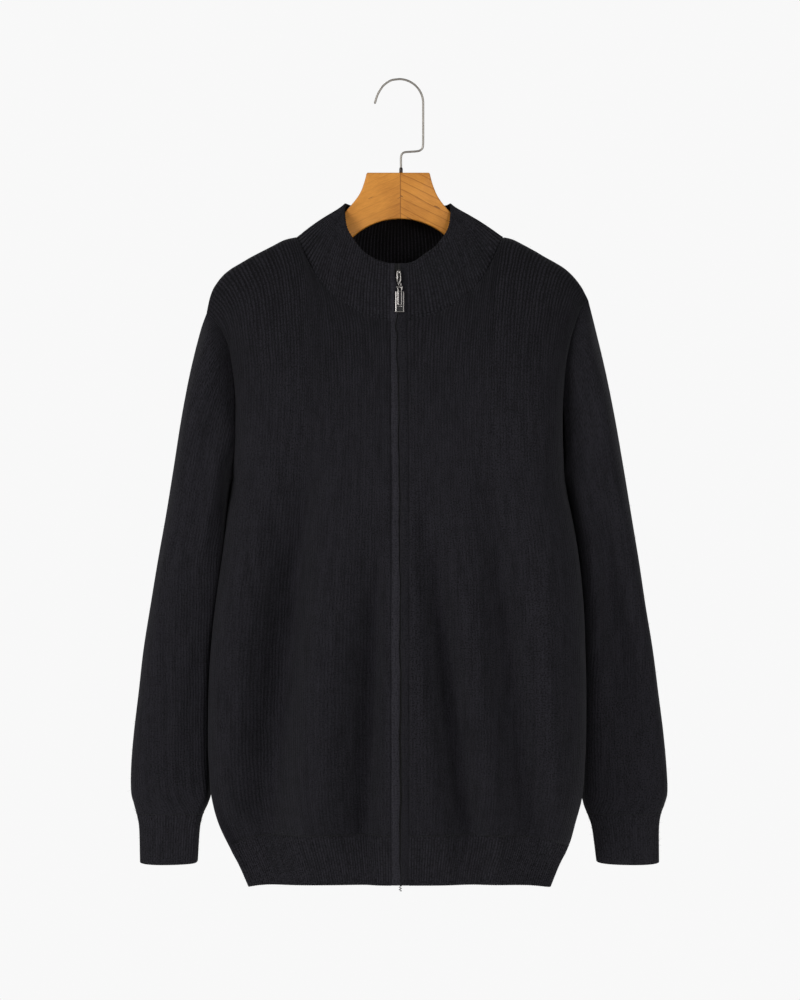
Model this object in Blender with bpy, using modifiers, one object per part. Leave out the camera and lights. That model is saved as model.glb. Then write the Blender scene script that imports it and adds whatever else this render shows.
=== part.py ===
"""Knitted zip cardigan with a ribbed collar, hem and cuffs, hung on a wooden hanger.

Sizes in the tables are millimetres. X runs to the wearer's left as seen from the
front, the front faces -Y and Z is up. The origin is the inside top of the hook.
"""
import math

import bmesh
import bpy
import numpy as np
from mathutils import Vector

MM = 0.001
GAP = 0.34                # clearance between two pieces at a seam
SLEEVE_GAP = 0.6          # the same at the sleeve's edges, which fold sharply
COLLAR_GAP = 0.8
WALL = 2.0                # knitted body fabric
RIB_WALL = 2.2            # rib fabric in its grooves
RIB_RISE = 0.8            # how far a rib stands out of its grooves
RIB_RISE_AT_SEAM = 0.25
RIB_PITCH = 3.2
MITRE_LIMIT = 2.0         # how much a folded seam may lengthen the wall's edge
ARM_PIT = 440.0           # drop from the hook to the armpit
FACING_WIDTH = 8.4
FACING_START = 0.7        # half of the slot that shows the zip
PANEL_START = FACING_START + FACING_WIDTH + GAP
SIDES = {"left": -1.0, "right": 1.0}

COLLECTION = "zip_cardigan"


class Table:
    """Rows of sizes under named columns, read smoothly between the rows."""

    def __init__(self, columns, *rows):
        self.columns = columns.split()
        self.rows = np.array(rows, float)
        self.keys = self.rows[:, 0]

    def at(self, key, name):
        values = self.rows[:, self.columns.index(name)]
        slopes = np.gradient(values, self.keys)
        key = min(max(key, self.keys[0]), self.keys[-1])
        low = min(int(np.searchsorted(self.keys, key, side="right")) - 1, len(values) - 2)
        width = self.keys[low + 1] - self.keys[low]
        t = (key - self.keys[low]) / width
        rise = values[low + 1] - values[low]
        start = slopes[low] * width - rise
        end = rise - slopes[low + 1] * width
        return float(values[low] + rise * t + t * (1 - t) * ((1 - t) * start + t * end))


# Half widths of the body, depth of its front, back and side seam, and how square
# its front corners are, by drop below the hook.
BODY = Table(
    "drop left right front back seam square",
    (173, 150, 150, -50, 42, 0, 5.0),
    (250, 178, 178, -62, 58, 0, 6.0),
    (350, 178, 177, -72, 70, 0, 6.0),
    (440, 182, 183, -78, 75, 12, 5.5),
    (455, 182.5, 184, -79, 76, 6, 5.2),
    (475, 186, 187, -80, 76, 0, 5.0),
    (505, 190.5, 192.5, -81, 77, -5, 4.6),
    (570, 202, 200, -83, 78, -8, 4.0),
    (630, 207.5, 202.5, -85, 79, -8, 3.6),
    (690, 209.5, 203.5, -86, 80, -8, 3.4),
    (750, 209, 202, -86, 79, -8, 3.4),
    (790, 205.5, 198.5, -84, 78, -7, 3.4),
    (815, 199, 192, -81, 75, -5, 3.2),
    (842, 186.5, 184, -77, 72, -4, 3.0),
    (858, 177.5, 175.5, -74, 69, -4, 2.8),
    (886, 165, 164, -70, 66, -3, 2.6),
)
BACK_SQUARE = 2.6
# The armhole seam, from the armpit (rise 0) to the shoulder tip (rise 1).
ARMHOLE = Table(
    "rise left right front back",
    (0.0, 182, 183, 12, 12),
    (0.1, 181.5, 181, -2, 34),
    (0.25, 183, 181.5, -12, 48),
    (0.5, 186, 184.5, -16, 54),
    (0.7, 188, 187.5, -15, 49),
    (0.82, 191.5, 189.5, -13, 39),
    (0.9, 196.5, 191.5, -10, 28),
    (0.96, 204, 197, -6, 16),
    (1.0, 212, 206, 0, 0),
)
# The ridge of the shoulder, by its share of the way out to the shoulder tip.
SHOULDER = Table(
    "share left right",
    (0.53, 173, 172.5),
    (0.60, 176.5, 175.8),
    (0.66, 183, 182),
    (0.72, 189.5, 188.7),
    (0.77, 195, 194.8),
    (0.83, 202.5, 201.7),
    (0.875, 208.2, 207.5),
    (0.915, 215.2, 214.8),
    (0.945, 223, 222),
    (0.97, 232, 229.5),
    (0.985, 241.5, 235.5),
    (1.0, 257, 241.5),
)
NECK_POINT = 113.0        # where collar, front, back and shoulder ridge meet
# The seam of the collar, by distance from the middle.
NECK = Table(
    "out front_drop back_drop front back",
    (0, 268.5, 200, -52, 42),
    (22, 265, 199.5, -51, 41),
    (49.5, 254.5, 198, -47, 38),
    (77, 235.5, 193, -39, 31),
    (99, 205.5, 184, -25, 20),
    (110, 181, 176, -10, 9),
    (113, 173, 173, 0, 0),
)
# The collar's top edge, by its turn from the front: half width, depth and drop.
COLLAR_TOP = Table(
    "turn out depth drop",
    (0, 0, -50, 204.5),
    (9, 9.5, -49.7, 204.3),
    (20, 19.5, -48, 201.5),
    (35, 32, -43, 194),
    (50, 44, -34, 182),
    (60, 50, -26, 166),
    (75, 55.5, -13, 147),
    (90, 57, 0, 137.5),
    (120, 49.5, 24, 136),
    (150, 28.5, 40, 136),
    (180, 0, 46, 136),
)
# Rings of the sleeve: drop, distance out and depth of its inner and outer line,
# depth of its front and back, and how far its middle bows back to the seam.
SLEEVE = Table(
    "row in_drop out_drop in_left in_right out_left out_right in_y out_y front back bow",
    (1, 443, 276, 188.5, 189.5, 219, 215, 19, 6, -34, 58, 9),
    (2, 451, 317, 188.5, 189, 229.5, 225, 24, 10, -43, 62, 3),
    (3, 463, 367, 188.5, 189, 239, 235, 28, 13, -47, 65, 0),
    (4, 480, 426, 189.5, 190, 248.5, 245.5, 31, 17, -48, 67, 0),
    (5, 506, 477, 192, 193.5, 257, 254, 33, 21, -44, 68, 0),
    (6, 541, 526, 196, 197, 266, 262, 34, 25, -36, 68, 0),
    (7, 585, 578, 200.5, 199.5, 275, 270, 34, 29, -26, 67, 0),
    (8, 630, 627, 205.5, 201.5, 283, 278.5, 35, 31, -17, 67, 0),
    (9, 675, 674, 208, 202.5, 288.5, 285, 35, 32, -9, 66, 0),
    (10, 720, 720, 209, 202.5, 294, 291, 34, 32, -4, 64, 0),
    (11, 757, 757, 209.5, 202, 297, 294.5, 33, 32, -1, 62, 0),
    (12, 784, 784, 210, 202, 297, 295.5, 32, 31, 0, 60, 0),
    (13, 797, 797, 213.5, 204, 294, 292.5, 31, 30, 2, 58, 0),
    (14, 808, 808, 218.5, 208, 291, 288.5, 30, 29, 4, 55, 0),
    (15, 824, 824, 222.5, 213.5, 288, 286, 29, 29, 5, 53, 0),
    (16, 861, 862, 225, 218.5, 287, 286, 29, 29, 6, 52, 0),
)
CUFF_SEAM_ROW = 14
CUFF_HEM_ROW = 16
# Soft folds of the body: where each starts and ends, its width and its rise.
FOLDS = {
    "front": (
        # x at top, drop at top, x at the hem, half width, rise (negative is a trough)
        (-108, 450, -160, 21, -11),
        (-72, 520, -118, 17, 4),
        (-34, 560, -60, 16, -10),
        (27, 520, 60, 12, -9),
        (44, 540, 92, 14, 4),
        (88, 410, 126, 14, -7),
        (140, 480, 160, 16, 2),
    ),
    "back": (
        (-120, 470, -142, 20, -9),
        (-60, 540, -82, 18, 4),
        (-12, 500, -20, 17, -8),
        (52, 560, 66, 18, 4),
        (104, 460, 128, 19, -9),
    ),
}
HEM_SEAM = {"front": 824.0, "back": 828.0, "side": 841.0}
HEM_EDGE = {"front": 878.0, "back": 882.0, "side": 885.5}
NECK_COLUMNS = {"front": 8, "back": 5}
SHOULDER_COLUMNS = 7
LOW_ROWS = 11
HIGH_ROWS = 10

# Wooden hanger
BLOCK_TOP = -101.8
ARM_HALF_THICKNESS = 5.5
ARM_ROUNDING = 2.5
ARM_CLEARANCE = 4.8       # below the cloth's inner side along the shoulder
ARM_END = 177.0
ARCH_RADIUS = 77.0
ARCH_TOP = -152.4
ARCH_HALF_SPAN = 49.5
HOOK_WIRE = 3.0
HOOK_RADIUS = 26.5        # centre line of the hook's bend
HOOK_CENTRE = (-1.0, -(26.5 - 1.5))
STEM_X = 1.1
# Zip
TAPE_WIDTH = 5.8
TAPE_THICKNESS = 1.0
CHAIN_HALF_WIDTH = 2.2
CHAIN_THICKNESS = 2.0
SLIDER_X = -0.6
SLIDER_TOP = -208.5
SLIDER_BOTTOM = -226.6
SLIDER_WIDTH = 6.0
SLIDER_THICKNESS = 1.7
PULL_AXIS = (SLIDER_X, -56.1, -224.0)
PULL_THICKNESS = 1.2


def lerp(a, b, t):
    return a + (b - a) * t


def smoothstep(a, b, x):
    t = min(max((x - a) / (b - a), 0.0), 1.0)
    return t * t * (3 - 2 * t)


def clear_scene():
    for item in list(bpy.data.objects):
        bpy.data.objects.remove(item)


def make_material(name, color, roughness, metallic=0.0):
    material = bpy.data.materials.new(name)
    material.use_nodes = True
    shader = material.node_tree.nodes["Principled BSDF"]
    shader.inputs["Base Color"].default_value = (*color, 1)
    shader.inputs["Roughness"].default_value = roughness
    shader.inputs["Metallic"].default_value = metallic
    return material


def add_object(name, data, material, collection):
    item = bpy.data.objects.new(name, data)
    item.data.materials.append(material)
    collection.objects.link(item)
    return item


# ---------------------------------------------------------------- body surface

def folds(face, x, drop):
    """How far the soft folds push the panel out at a place."""
    total = 0.0
    for top_x, top_drop, hem_x, width, rise in FOLDS[face]:
        along = (drop - top_drop) / (HEM_SEAM[face] - top_drop)
        if along > 0:
            middle = lerp(top_x, hem_x, along)
            growth = smoothstep(0, 0.65, along) * (1 - 0.75 * smoothstep(0.93, 1.12, along))
            spread = width * lerp(0.6, 1.0, min(along, 1.0))
            total += rise * growth * math.exp(-((x - middle) / spread) ** 2)
    return total


def tip(side):
    """Distance out of the shoulder tip."""
    return ARMHOLE.at(1.0, side)


def top_drop(side, face, out):
    """Drop of a panel's upper edge: the neck seam, then the shoulder ridge."""
    if out < NECK_POINT:
        return NECK.at(out, face + "_drop")
    return SHOULDER.at(out / tip(side), side)


def top_depth(face, out):
    return NECK.at(out, face) if out < NECK_POINT else 0.0


def hem_drop(face, share, edge=False):
    """Drop of the hem's seam, or of its lower edge, by share of the half width."""
    drops = HEM_EDGE if edge else HEM_SEAM
    return lerp(drops[face], drops["side"], share ** 5)


def low_point(side, face, share, drop, start):
    """A point of the body below the armpits."""
    reach = BODY.at(drop, side)
    out = lerp(start, reach, share)
    seam = BODY.at(drop, "seam")
    square = BODY.at(drop, "square") if face == "front" else BACK_SQUARE
    bulge = math.sqrt(max(0.0, 1 - (out / reach) ** square))
    depth = seam + (BODY.at(drop, face) - seam) * bulge
    x = out * SIDES[side]
    outward = -1 if face == "front" else 1
    depth += outward * folds(face, x, drop) * smoothstep(0, 0.5, bulge)
    return Vector((x, depth, -drop))


def high_point(side, face, share, rise, start):
    """A point of the body between the armpits and the neck or shoulder."""
    top_out = lerp(start, tip(side), share)
    drop = lerp(ARM_PIT, top_drop(side, face, top_out), rise)
    reach = ARMHOLE.at(rise, side)
    out = lerp(start, reach, share)
    above = smoothstep(0, 0.5, rise)
    square = BODY.at(drop, "square") if face == "front" else lerp(BACK_SQUARE, 3.2, above)
    bulge = math.sqrt(max(0.0, 1 - (out / reach) ** square))
    roll = (1 - rise ** 2.2) ** (1 / lerp(1.15, 2.0, smoothstep(20, 125, top_out)))
    base = lerp(ARMHOLE.at(rise, face), top_depth(face, top_out), (1 - share ** 8) * above)
    depth = base + (BODY.at(drop, face) - base) * bulge * roll
    x = out * SIDES[side]
    outward = -1 if face == "front" else 1
    depth += outward * folds(face, x, drop) * smoothstep(0, 0.5, bulge)
    return Vector((x, depth, -drop))


def body_point(side, face, share, level):
    """Level 0 is the hem seam, 1 the armpit and 2 the neck seam or shoulder."""
    start = PANEL_START if face == "front" else 0.0
    if level > 1:
        return high_point(side, face, share, level - 1, start)
    drop = lerp(hem_drop(face, share), ARM_PIT, level)
    return low_point(side, face, share, drop, start)


def cosine_steps(count):
    return [(1 - math.cos(math.pi * i / count)) / 2 for i in range(count + 1)]


def panel_levels():
    low = [(i / LOW_ROWS) ** 1.2 for i in range(LOW_ROWS + 1)]
    return low[:-1] + [1 + rise for rise in cosine_steps(HIGH_ROWS)]


def panel_shares(side, face):
    """Columns from the middle to the side: even ones that close up at the ends."""
    start = PANEL_START if face == "front" else 0.0
    middle = (NECK_POINT - start) / (tip(side) - start)
    shares = []
    for low, high, count in ((0, middle, NECK_COLUMNS[face]), (middle, 1, SHOULDER_COLUMNS)):
        for i in range(count):
            even = i / count
            shares.append(lerp(low, high, 0.5 * even + 0.5 * math.sin(math.pi / 2 * even)))
    return shares + [1.0]


def ordered(side, columns):
    """Columns run towards +X on the front of both sides."""
    return columns[::-1] if side == "left" else columns


def front_grid(side):
    columns = ordered(side, panel_shares(side, "front"))
    return [[body_point(side, "front", s, level) for s in columns] for level in panel_levels()]


def back_columns():
    """Side and share of each column of the back, from the right seam to the left."""
    right = [("right", s) for s in reversed(panel_shares("right", "back"))]
    return right + [("left", s) for s in panel_shares("left", "back")[1:]]


def back_grid():
    return [[body_point(side, "back", s, level) for side, s in back_columns()]
            for level in panel_levels()]


# ------------------------------------------------------------- hem and collar

def hem_point(side, face, share, down):
    start = PANEL_START if face == "front" else 0.0
    drop = lerp(hem_drop(face, share), hem_drop(face, share, edge=True), down)
    return low_point(side, face, share, drop, start)


def hem_front_grid(side):
    columns = ordered(side, panel_shares(side, "front"))
    return [[hem_point(side, "front", s, down) for s in columns] for down in (1, 0)]


def hem_back_grid():
    return [[hem_point(side, "back", s, down) for side, s in back_columns()] for down in (1, 0)]


def neck_seam():
    """The collar's seam as (side, face, share) from the left front round the back."""
    front = {}
    for side in SIDES:
        count = NECK_COLUMNS["front"]
        front[side] = [(side, "front", s) for s in panel_shares(side, "front")[:count + 1]]
    back = {}
    for side in SIDES:
        count = NECK_COLUMNS["back"]
        back[side] = [(side, "back", s) for s in panel_shares(side, "back")[:count]]
    round_back = front["left"] + back["left"][::-1] + back["right"][1:] + front["right"][::-1]
    return round_back


def collar_top_point(seam, side, face):
    """The point of the top edge that belongs to a point of the seam."""
    out = min(abs(seam.x) / NECK_POINT, 1.0)
    turn = 9 + 81 * (out - 0.084) / 0.916 if face == "front" else 180 - 90 * out
    turn = max(turn, 9)
    x = COLLAR_TOP.at(turn, "out") if out > 0 else 0.0
    return Vector((SIDES[side] * x, COLLAR_TOP.at(turn, "depth"), -COLLAR_TOP.at(turn, "drop")))


def collar_grid():
    rows = []
    for up in (0, 0.5, 1):
        row = []
        for side, face, share in neck_seam():
            seam = body_point(side, face, share, 2)
            top = collar_top_point(seam, side, face)
            point = seam.lerp(top, up)
            if up == 1 and share == panel_shares(side, face)[0] and face == "front":
                point.x = SIDES[side] * PANEL_START
            bulge = 2.0 * math.sin(math.pi * up)
            outward = Vector((point.x, point.y, 0)).normalized()
            row.append(point + outward * bulge)
        rows.append(row)
    return [row[::-1] for row in rows]


# --------------------------------------------------------------------- sleeves

def sleeve_ring(side, row):
    """One ring of the sleeve; row 0 is the armhole seam."""
    rises = cosine_steps(HIGH_ROWS)
    if row == 0:
        front = [body_point(side, "front", 1.0, 1 + rise) for rise in rises]
        back = [body_point(side, "back", 1.0, 1 + rise) for rise in rises]
        return front + back[-2:0:-1]

    def size(name):
        return SLEEVE.at(row, name)

    inner = Vector((size("in_" + side), size("in_y"), -size("in_drop")))
    outer = Vector((size("out_" + side), size("out_y"), -size("out_drop")))
    ring = []
    for face, steps in (("front", rises), ("back", rises[-2:0:-1])):
        for rise in steps:
            point = inner.lerp(outer, rise)
            swell = math.sqrt(max(0.0, 1 - (2 * rise - 1) ** 2))
            middle = (inner.y + outer.y) / 2
            point.y += (size(face) - middle) * swell ** 0.9
            if face == "front":
                point.x -= size("bow") * swell
            point.x *= SIDES[side]
            ring.append(point)
    return ring


def sleeve_grid(side, rows):
    rings = [sleeve_ring(side, row) for row in rows]
    return rings if side == "left" else [ring[::-1] for ring in rings]


# ----------------------------------------------------------------------- walls

class Wall:
    """A fabric wall on a grid of middle points whose columns x rows face outwards."""

    def __init__(self, grid, closed=False, outer=WALL / 2, inner=WALL / 2, flat_x=()):
        self.grid = grid
        self.ribs = None
        self.seam_row = None
        self.gap = GAP
        self.family = "body"
        self.closed = closed
        self.outer = outer
        self.inner = inner
        self.rows = len(grid)
        self.columns = len(grid[0])
        self.normals = [[self.normal(i, j) for j in range(self.columns)] for i in range(self.rows)]
        for j in flat_x:
            for i in range(self.rows):
                self.normals[i][j].x = 0
                self.normals[i][j].normalize()

    def along(self, i, j):
        """The direction of the columns' spacing at a point."""
        if self.closed:
            return self.grid[i][(j + 1) % self.columns] - self.grid[i][j - 1]
        low, high = max(j - 1, 0), min(j + 1, self.columns - 1)
        return self.grid[i][high] - self.grid[i][low]

    def across(self, i, j):
        low, high = max(i - 1, 0), min(i + 1, self.rows - 1)
        return self.grid[high][j] - self.grid[low][j]

    def normal(self, i, j):
        return self.along(i, j).cross(self.across(i, j)).normalized()

    def rims(self, i, j):
        """Directions into the piece from each free edge that a point lies on."""
        inward = []
        if i in (0, self.rows - 1):
            step = 1 if i == 0 else -1
            inward.append((self.grid[i + step][j] - self.grid[i][j], self.along(i, j)))
        if not self.closed and j in (0, self.columns - 1):
            step = 1 if j == 0 else -1
            inward.append((self.grid[i][j + step] - self.grid[i][j], self.across(i, j)))
        return inward


def key(point):
    return tuple(round(value, 3) for value in point)


def shared_normals(walls):
    """Neighbours that meet at a seam get one normal there, longer where they fold."""
    families = {}
    for wall in walls.values():
        for i in range(wall.rows):
            for j in range(wall.columns):
                if wall.rims(i, j):
                    place = families.setdefault(key(wall.grid[i][j]), {})
                    place.setdefault(wall.family, []).append(wall.normals[i][j])
    shared = {}
    for place, members in families.items():
        facing = [sum(normals, Vector()).normalized() for normals in members.values()]
        mean = sum(facing, Vector()).normalized()
        cosine = min(mean.dot(normal) for normal in facing)
        shared[place] = mean * min(1 / max(cosine, 0.1), MITRE_LIMIT)
    return shared


def offsets(wall, shared):
    """Middle points pulled back from their seams, and the direction of the wall there."""
    points = []
    ways = []
    for i in range(wall.rows):
        point_row = []
        way_row = []
        for j in range(wall.columns):
            point = wall.grid[i][j].copy()
            way = wall.normals[i][j]
            rims = wall.rims(i, j)
            if rims:
                way = shared[key(point)]
                facing = way.normalized()
                for inward, edge in rims:
                    edge = edge.normalized()
                    inward = inward - edge * inward.dot(edge)
                    inward = inward - facing * inward.dot(facing)
                    point = point + inward.normalized() * wall.gap / 2
            point_row.append(point)
            way_row.append(way)
        points.append(point_row)
        ways.append(way_row)
    return points, ways


def wall_mesh(name, wall, shared):
    """A closed wall: outer grid, with ribs if it has them, plain inner grid and rims."""
    points, ways = offsets(wall, shared)
    spans = wall.columns if wall.closed else wall.columns - 1
    counts = [2 * count for count in wall.ribs] if wall.ribs else [1] * spans
    mesh = bmesh.new()

    def place(i, j, t, rise):
        nxt = (j + 1) % wall.columns
        point = points[i][j].lerp(points[i][nxt], t)
        way = ways[i][j].lerp(ways[i][nxt], t)
        return mesh.verts.new((point + way * (wall.outer + rise)) * MM)

    outer = []
    inner = []
    for i in range(wall.rows):
        outer_row = []
        for j in range(spans):
            steps = counts[j]
            for step in range(steps):
                rise = RIB_RISE_AT_SEAM if i == wall.seam_row else RIB_RISE
                outer_row.append(place(i, j, step / steps, rise * (step % 2)))
        if not wall.closed:
            outer_row.append(place(i, spans - 1, 1.0, 0))
        outer.append(outer_row)
        inner.append([mesh.verts.new((p - w * wall.inner) * MM) for p, w in zip(points[i], ways[i])])

    width = len(outer[0])
    outer_spans = width if wall.closed else width - 1
    for i in range(wall.rows - 1):
        for j in range(outer_spans):
            nxt = (j + 1) % width
            mesh.faces.new((outer[i][j], outer[i][nxt], outer[i + 1][nxt], outer[i + 1][j]))
        for j in range(spans):
            nxt = (j + 1) % wall.columns
            mesh.faces.new((inner[i][j], inner[i + 1][j], inner[i + 1][nxt], inner[i][nxt]))
    for i, flip in ((0, False), (wall.rows - 1, True)):
        first = 0
        for j in range(spans):
            nxt = (j + 1) % wall.columns
            steps = counts[j]
            strip = [outer[i][(first + step) % width] for step in range(steps + 1)]
            half = steps // 2
            near, far = inner[i][j], inner[i][nxt]
            faces = [(near, strip[step + 1], strip[step]) for step in range(half)]
            faces += [(far, strip[step + 1], strip[step]) for step in range(half, steps)]
            faces.append((near, far, strip[half]))
            for face in faces:
                mesh.faces.new(face[::-1] if flip else face)
            first += steps
    if not wall.closed:
        for j, inner_j, flip in ((0, 0, True), (width - 1, wall.columns - 1, False)):
            for i in range(wall.rows - 1):
                face = (outer[i][j], inner[i][inner_j], inner[i + 1][inner_j], outer[i + 1][j])
                mesh.faces.new(face[::-1] if flip else face)
    bmesh.ops.triangulate(mesh, faces=mesh.faces)
    data = bpy.data.meshes.new(name)
    mesh.to_mesh(data)
    mesh.free()
    return data


def rib_counts(grid, closed):
    """How many ribs fit between two neighbouring columns, all along the strip."""
    counts = []
    middle = len(grid) // 2
    for j in range(len(grid[0]) if closed else len(grid[0]) - 1):
        nxt = (j + 1) % len(grid[0])
        span = sum((row[nxt] - row[j]).length for row in (grid[0], grid[middle], grid[-1])) / 3
        counts.append(max(1, round(span / RIB_PITCH)))
    return counts


def rib_wall(grid, seam_row, closed=False, flat_x=()):
    wall = Wall(grid, closed, outer=RIB_WALL / 2, inner=RIB_WALL / 2, flat_x=flat_x)
    wall.ribs = rib_counts(grid, closed)
    wall.seam_row = seam_row
    return wall


def garment_walls():
    walls = {}
    for side in SIDES:
        placket = -1 if side == "left" else 0
        walls["front_" + side] = Wall(front_grid(side), flat_x=(placket,))
        walls["hem_front_" + side] = rib_wall(hem_front_grid(side), 1, flat_x=(placket,))
        walls["sleeve_" + side] = Wall(sleeve_grid(side, range(CUFF_SEAM_ROW + 1)), closed=True)
        walls["sleeve_" + side].gap = SLEEVE_GAP
        walls["sleeve_" + side].family = "sleeve"
        rows = (CUFF_SEAM_ROW, CUFF_SEAM_ROW + 1, CUFF_HEM_ROW)
        walls["cuff_" + side] = rib_wall(sleeve_grid(side, rows), 0, closed=True)
    walls["back"] = Wall(back_grid())
    walls["hem_back"] = rib_wall(hem_back_grid(), 1)
    walls["collar"] = rib_wall(collar_grid(), 0, flat_x=(0, -1))
    walls["collar"].gap = COLLAR_GAP
    for name, wall in walls.items():
        if wall.ribs:
            wall.family = "rib"
    return walls


# ------------------------------------------------------------------------- zip

def placket_line():
    """Middle points of the front edge from the hem's lower edge to the collar's top."""
    line = [hem_point("right", "front", 0.0, 1), hem_point("right", "front", 0.0, 0)]
    line += [body_point("right", "front", 0.0, level) for level in panel_levels()[1:]]
    seam = line[-1]
    top = collar_top_point(seam, "right", "front")
    line += [seam.lerp(top, 0.5) + Vector((0, -2.0, 0)), top]
    return line


def strip_grid(line, low_x, high_x, back):
    """A vertical strip between two distances, set back from the placket's line."""
    return [[Vector((x, point.y + back, point.z)) for x in (low_x, high_x)] for point in line]


def strip_wall(line, low_x, high_x, back, thickness):
    grid = strip_grid(line, low_x, high_x, back)
    return Wall(grid, outer=thickness / 2, inner=thickness / 2)


def zip_walls():
    line = placket_line()
    walls = {}
    behind = WALL / 2 + GAP
    for side, sign in SIDES.items():
        low, high = FACING_START - GAP / 2, FACING_START + FACING_WIDTH + GAP / 2
        ends = (low, high) if sign > 0 else (-high, -low)
        walls["facing_" + side] = strip_wall(line, *ends, 0.0, WALL)
        low, high = CHAIN_HALF_WIDTH, CHAIN_HALF_WIDTH + TAPE_WIDTH
        ends = (low, high) if sign > 0 else (-high, -low)
        back = behind + TAPE_THICKNESS / 2
        walls["zip_tape_" + side] = strip_wall(line, *ends, back, TAPE_THICKNESS)
    chain = line[:-1]
    back = behind + CHAIN_THICKNESS / 2
    walls["zip_chain"] = strip_wall(chain, -CHAIN_HALF_WIDTH, CHAIN_HALF_WIDTH, back, CHAIN_THICKNESS)
    return walls


def tube(name, points, diameter, material, collection, resolution=2):
    curve = bpy.data.curves.new(name, "CURVE")
    curve.dimensions = "3D"
    curve.bevel_depth = diameter / 2 * MM
    curve.bevel_resolution = resolution
    curve.use_fill_caps = True
    spline = curve.splines.new("POLY")
    spline.points.add(len(points) - 1)
    for point, place in zip(spline.points, points):
        point.co = (*(Vector(place) * MM), 1)
    return add_object(name, curve, material, collection)


def outline_plate(name, outlines, thickness, material, collection):
    """A flat plate standing in the XZ plane, its first outline cut by the others."""
    curve = bpy.data.curves.new(name, "CURVE")
    curve.dimensions = "2D"
    curve.fill_mode = "BOTH"
    curve.extrude = thickness / 2 * MM
    for outline in outlines:
        spline = curve.splines.new("POLY")
        spline.use_cyclic_u = True
        spline.points.add(len(outline) - 1)
        for point, (x, z) in zip(spline.points, outline):
            point.co = (x * MM, z * MM, 0, 1)
    item = add_object(name, curve, material, collection)
    item.rotation_euler = (math.pi / 2, 0, 0)
    return item


def weld(item):
    modifier = item.modifiers.new("weld", "WELD")
    modifier.merge_threshold = 0.00001


def slider(material, collection):
    """Front plate of the slider with its bridge, one body."""
    top, bottom = SLIDER_TOP, SLIDER_BOTTOM
    half = SLIDER_WIDTH / 2
    face = -52.0 - WALL / 2 - GAP
    outline = [
        (SLIDER_X - half, top), (SLIDER_X - half, top - 6), (SLIDER_X - half * 0.75, bottom),
        (SLIDER_X + half * 0.75, bottom), (SLIDER_X + half, top - 6), (SLIDER_X + half, top),
    ]
    plate = outline_plate("zip_slider", [outline], SLIDER_THICKNESS, material, collection)
    plate.location.y = (face - SLIDER_THICKNESS / 2) * MM
    weld(plate)
    root = face - SLIDER_THICKNESS / 2
    route = [
        (root, top - 3.2), (-57.2, top - 4.2), (-58.0, top - 6.5), (-58.2, top - 10),
        (-58.1, PULL_AXIS[2] + 0.4), (-57.4, PULL_AXIS[2] - 1.5), (root, PULL_AXIS[2] - 2.0),
    ]
    points = [(SLIDER_X, y, z) for y, z in route]
    bridge = tube("bridge_guide", points, 1.2, material, collection, resolution=1)
    view = bpy.context.view_layer
    view.update()
    graph = bpy.context.evaluated_depsgraph_get()
    solid = bpy.data.meshes.new_from_object(bridge.evaluated_get(graph))
    mesh = bmesh.new()
    mesh.from_mesh(solid)
    bmesh.ops.remove_doubles(mesh, verts=mesh.verts, dist=0.00001)
    bmesh.ops.recalc_face_normals(mesh, faces=mesh.faces)
    mesh.to_mesh(solid)
    mesh.free()
    bpy.data.objects.remove(bridge)
    return plate, solid


def join_bridge(plate, solid, material, collection, cutters):
    """The plate as a mesh, joined to its bridge by a Boolean."""
    graph = bpy.context.evaluated_depsgraph_get()
    data = bpy.data.meshes.new_from_object(plate.evaluated_get(graph))
    data.transform(plate.matrix_world)
    bpy.data.objects.remove(plate)
    body = add_object("zip_slider", data, material, collection)
    bridge = add_object("bridge_guide", solid, material, cutters)
    bridge.hide_render = True
    bridge.display_type = "WIRE"
    modifier = body.modifiers.new("bridge", "BOOLEAN")
    modifier.operation = "UNION"
    modifier.object = bridge


def pull(material, collection):
    """The pull tab hangs by its eye from the slider's bridge."""
    x, y, z = PULL_AXIS
    bar = 0.45
    outline = [
        (x - 2.6, z + bar), (x - 2.6, z - 3.6), (x - 4.7, z - 7.2), (x - 4.9, z - 31.2),
        (x + 4.9, z - 31.2), (x + 4.7, z - 7.2), (x + 2.6, z - 3.6), (x + 2.6, z + bar),
    ]
    eye = [(x - 1.6, z - bar), (x + 1.6, z - bar), (x + 1.6, z - 5.6), (x - 1.6, z - 5.6)]
    slot = [(x - 1.9, z - 8.4), (x + 1.9, z - 8.4), (x + 1.9, z - 23.0), (x - 1.9, z - 23.0)]
    plate = outline_plate("zip_pull", [outline, eye, slot], PULL_THICKNESS, material, collection)
    plate.location.y = y * MM
    weld(plate)


# ---------------------------------------------------------------------- hanger

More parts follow.
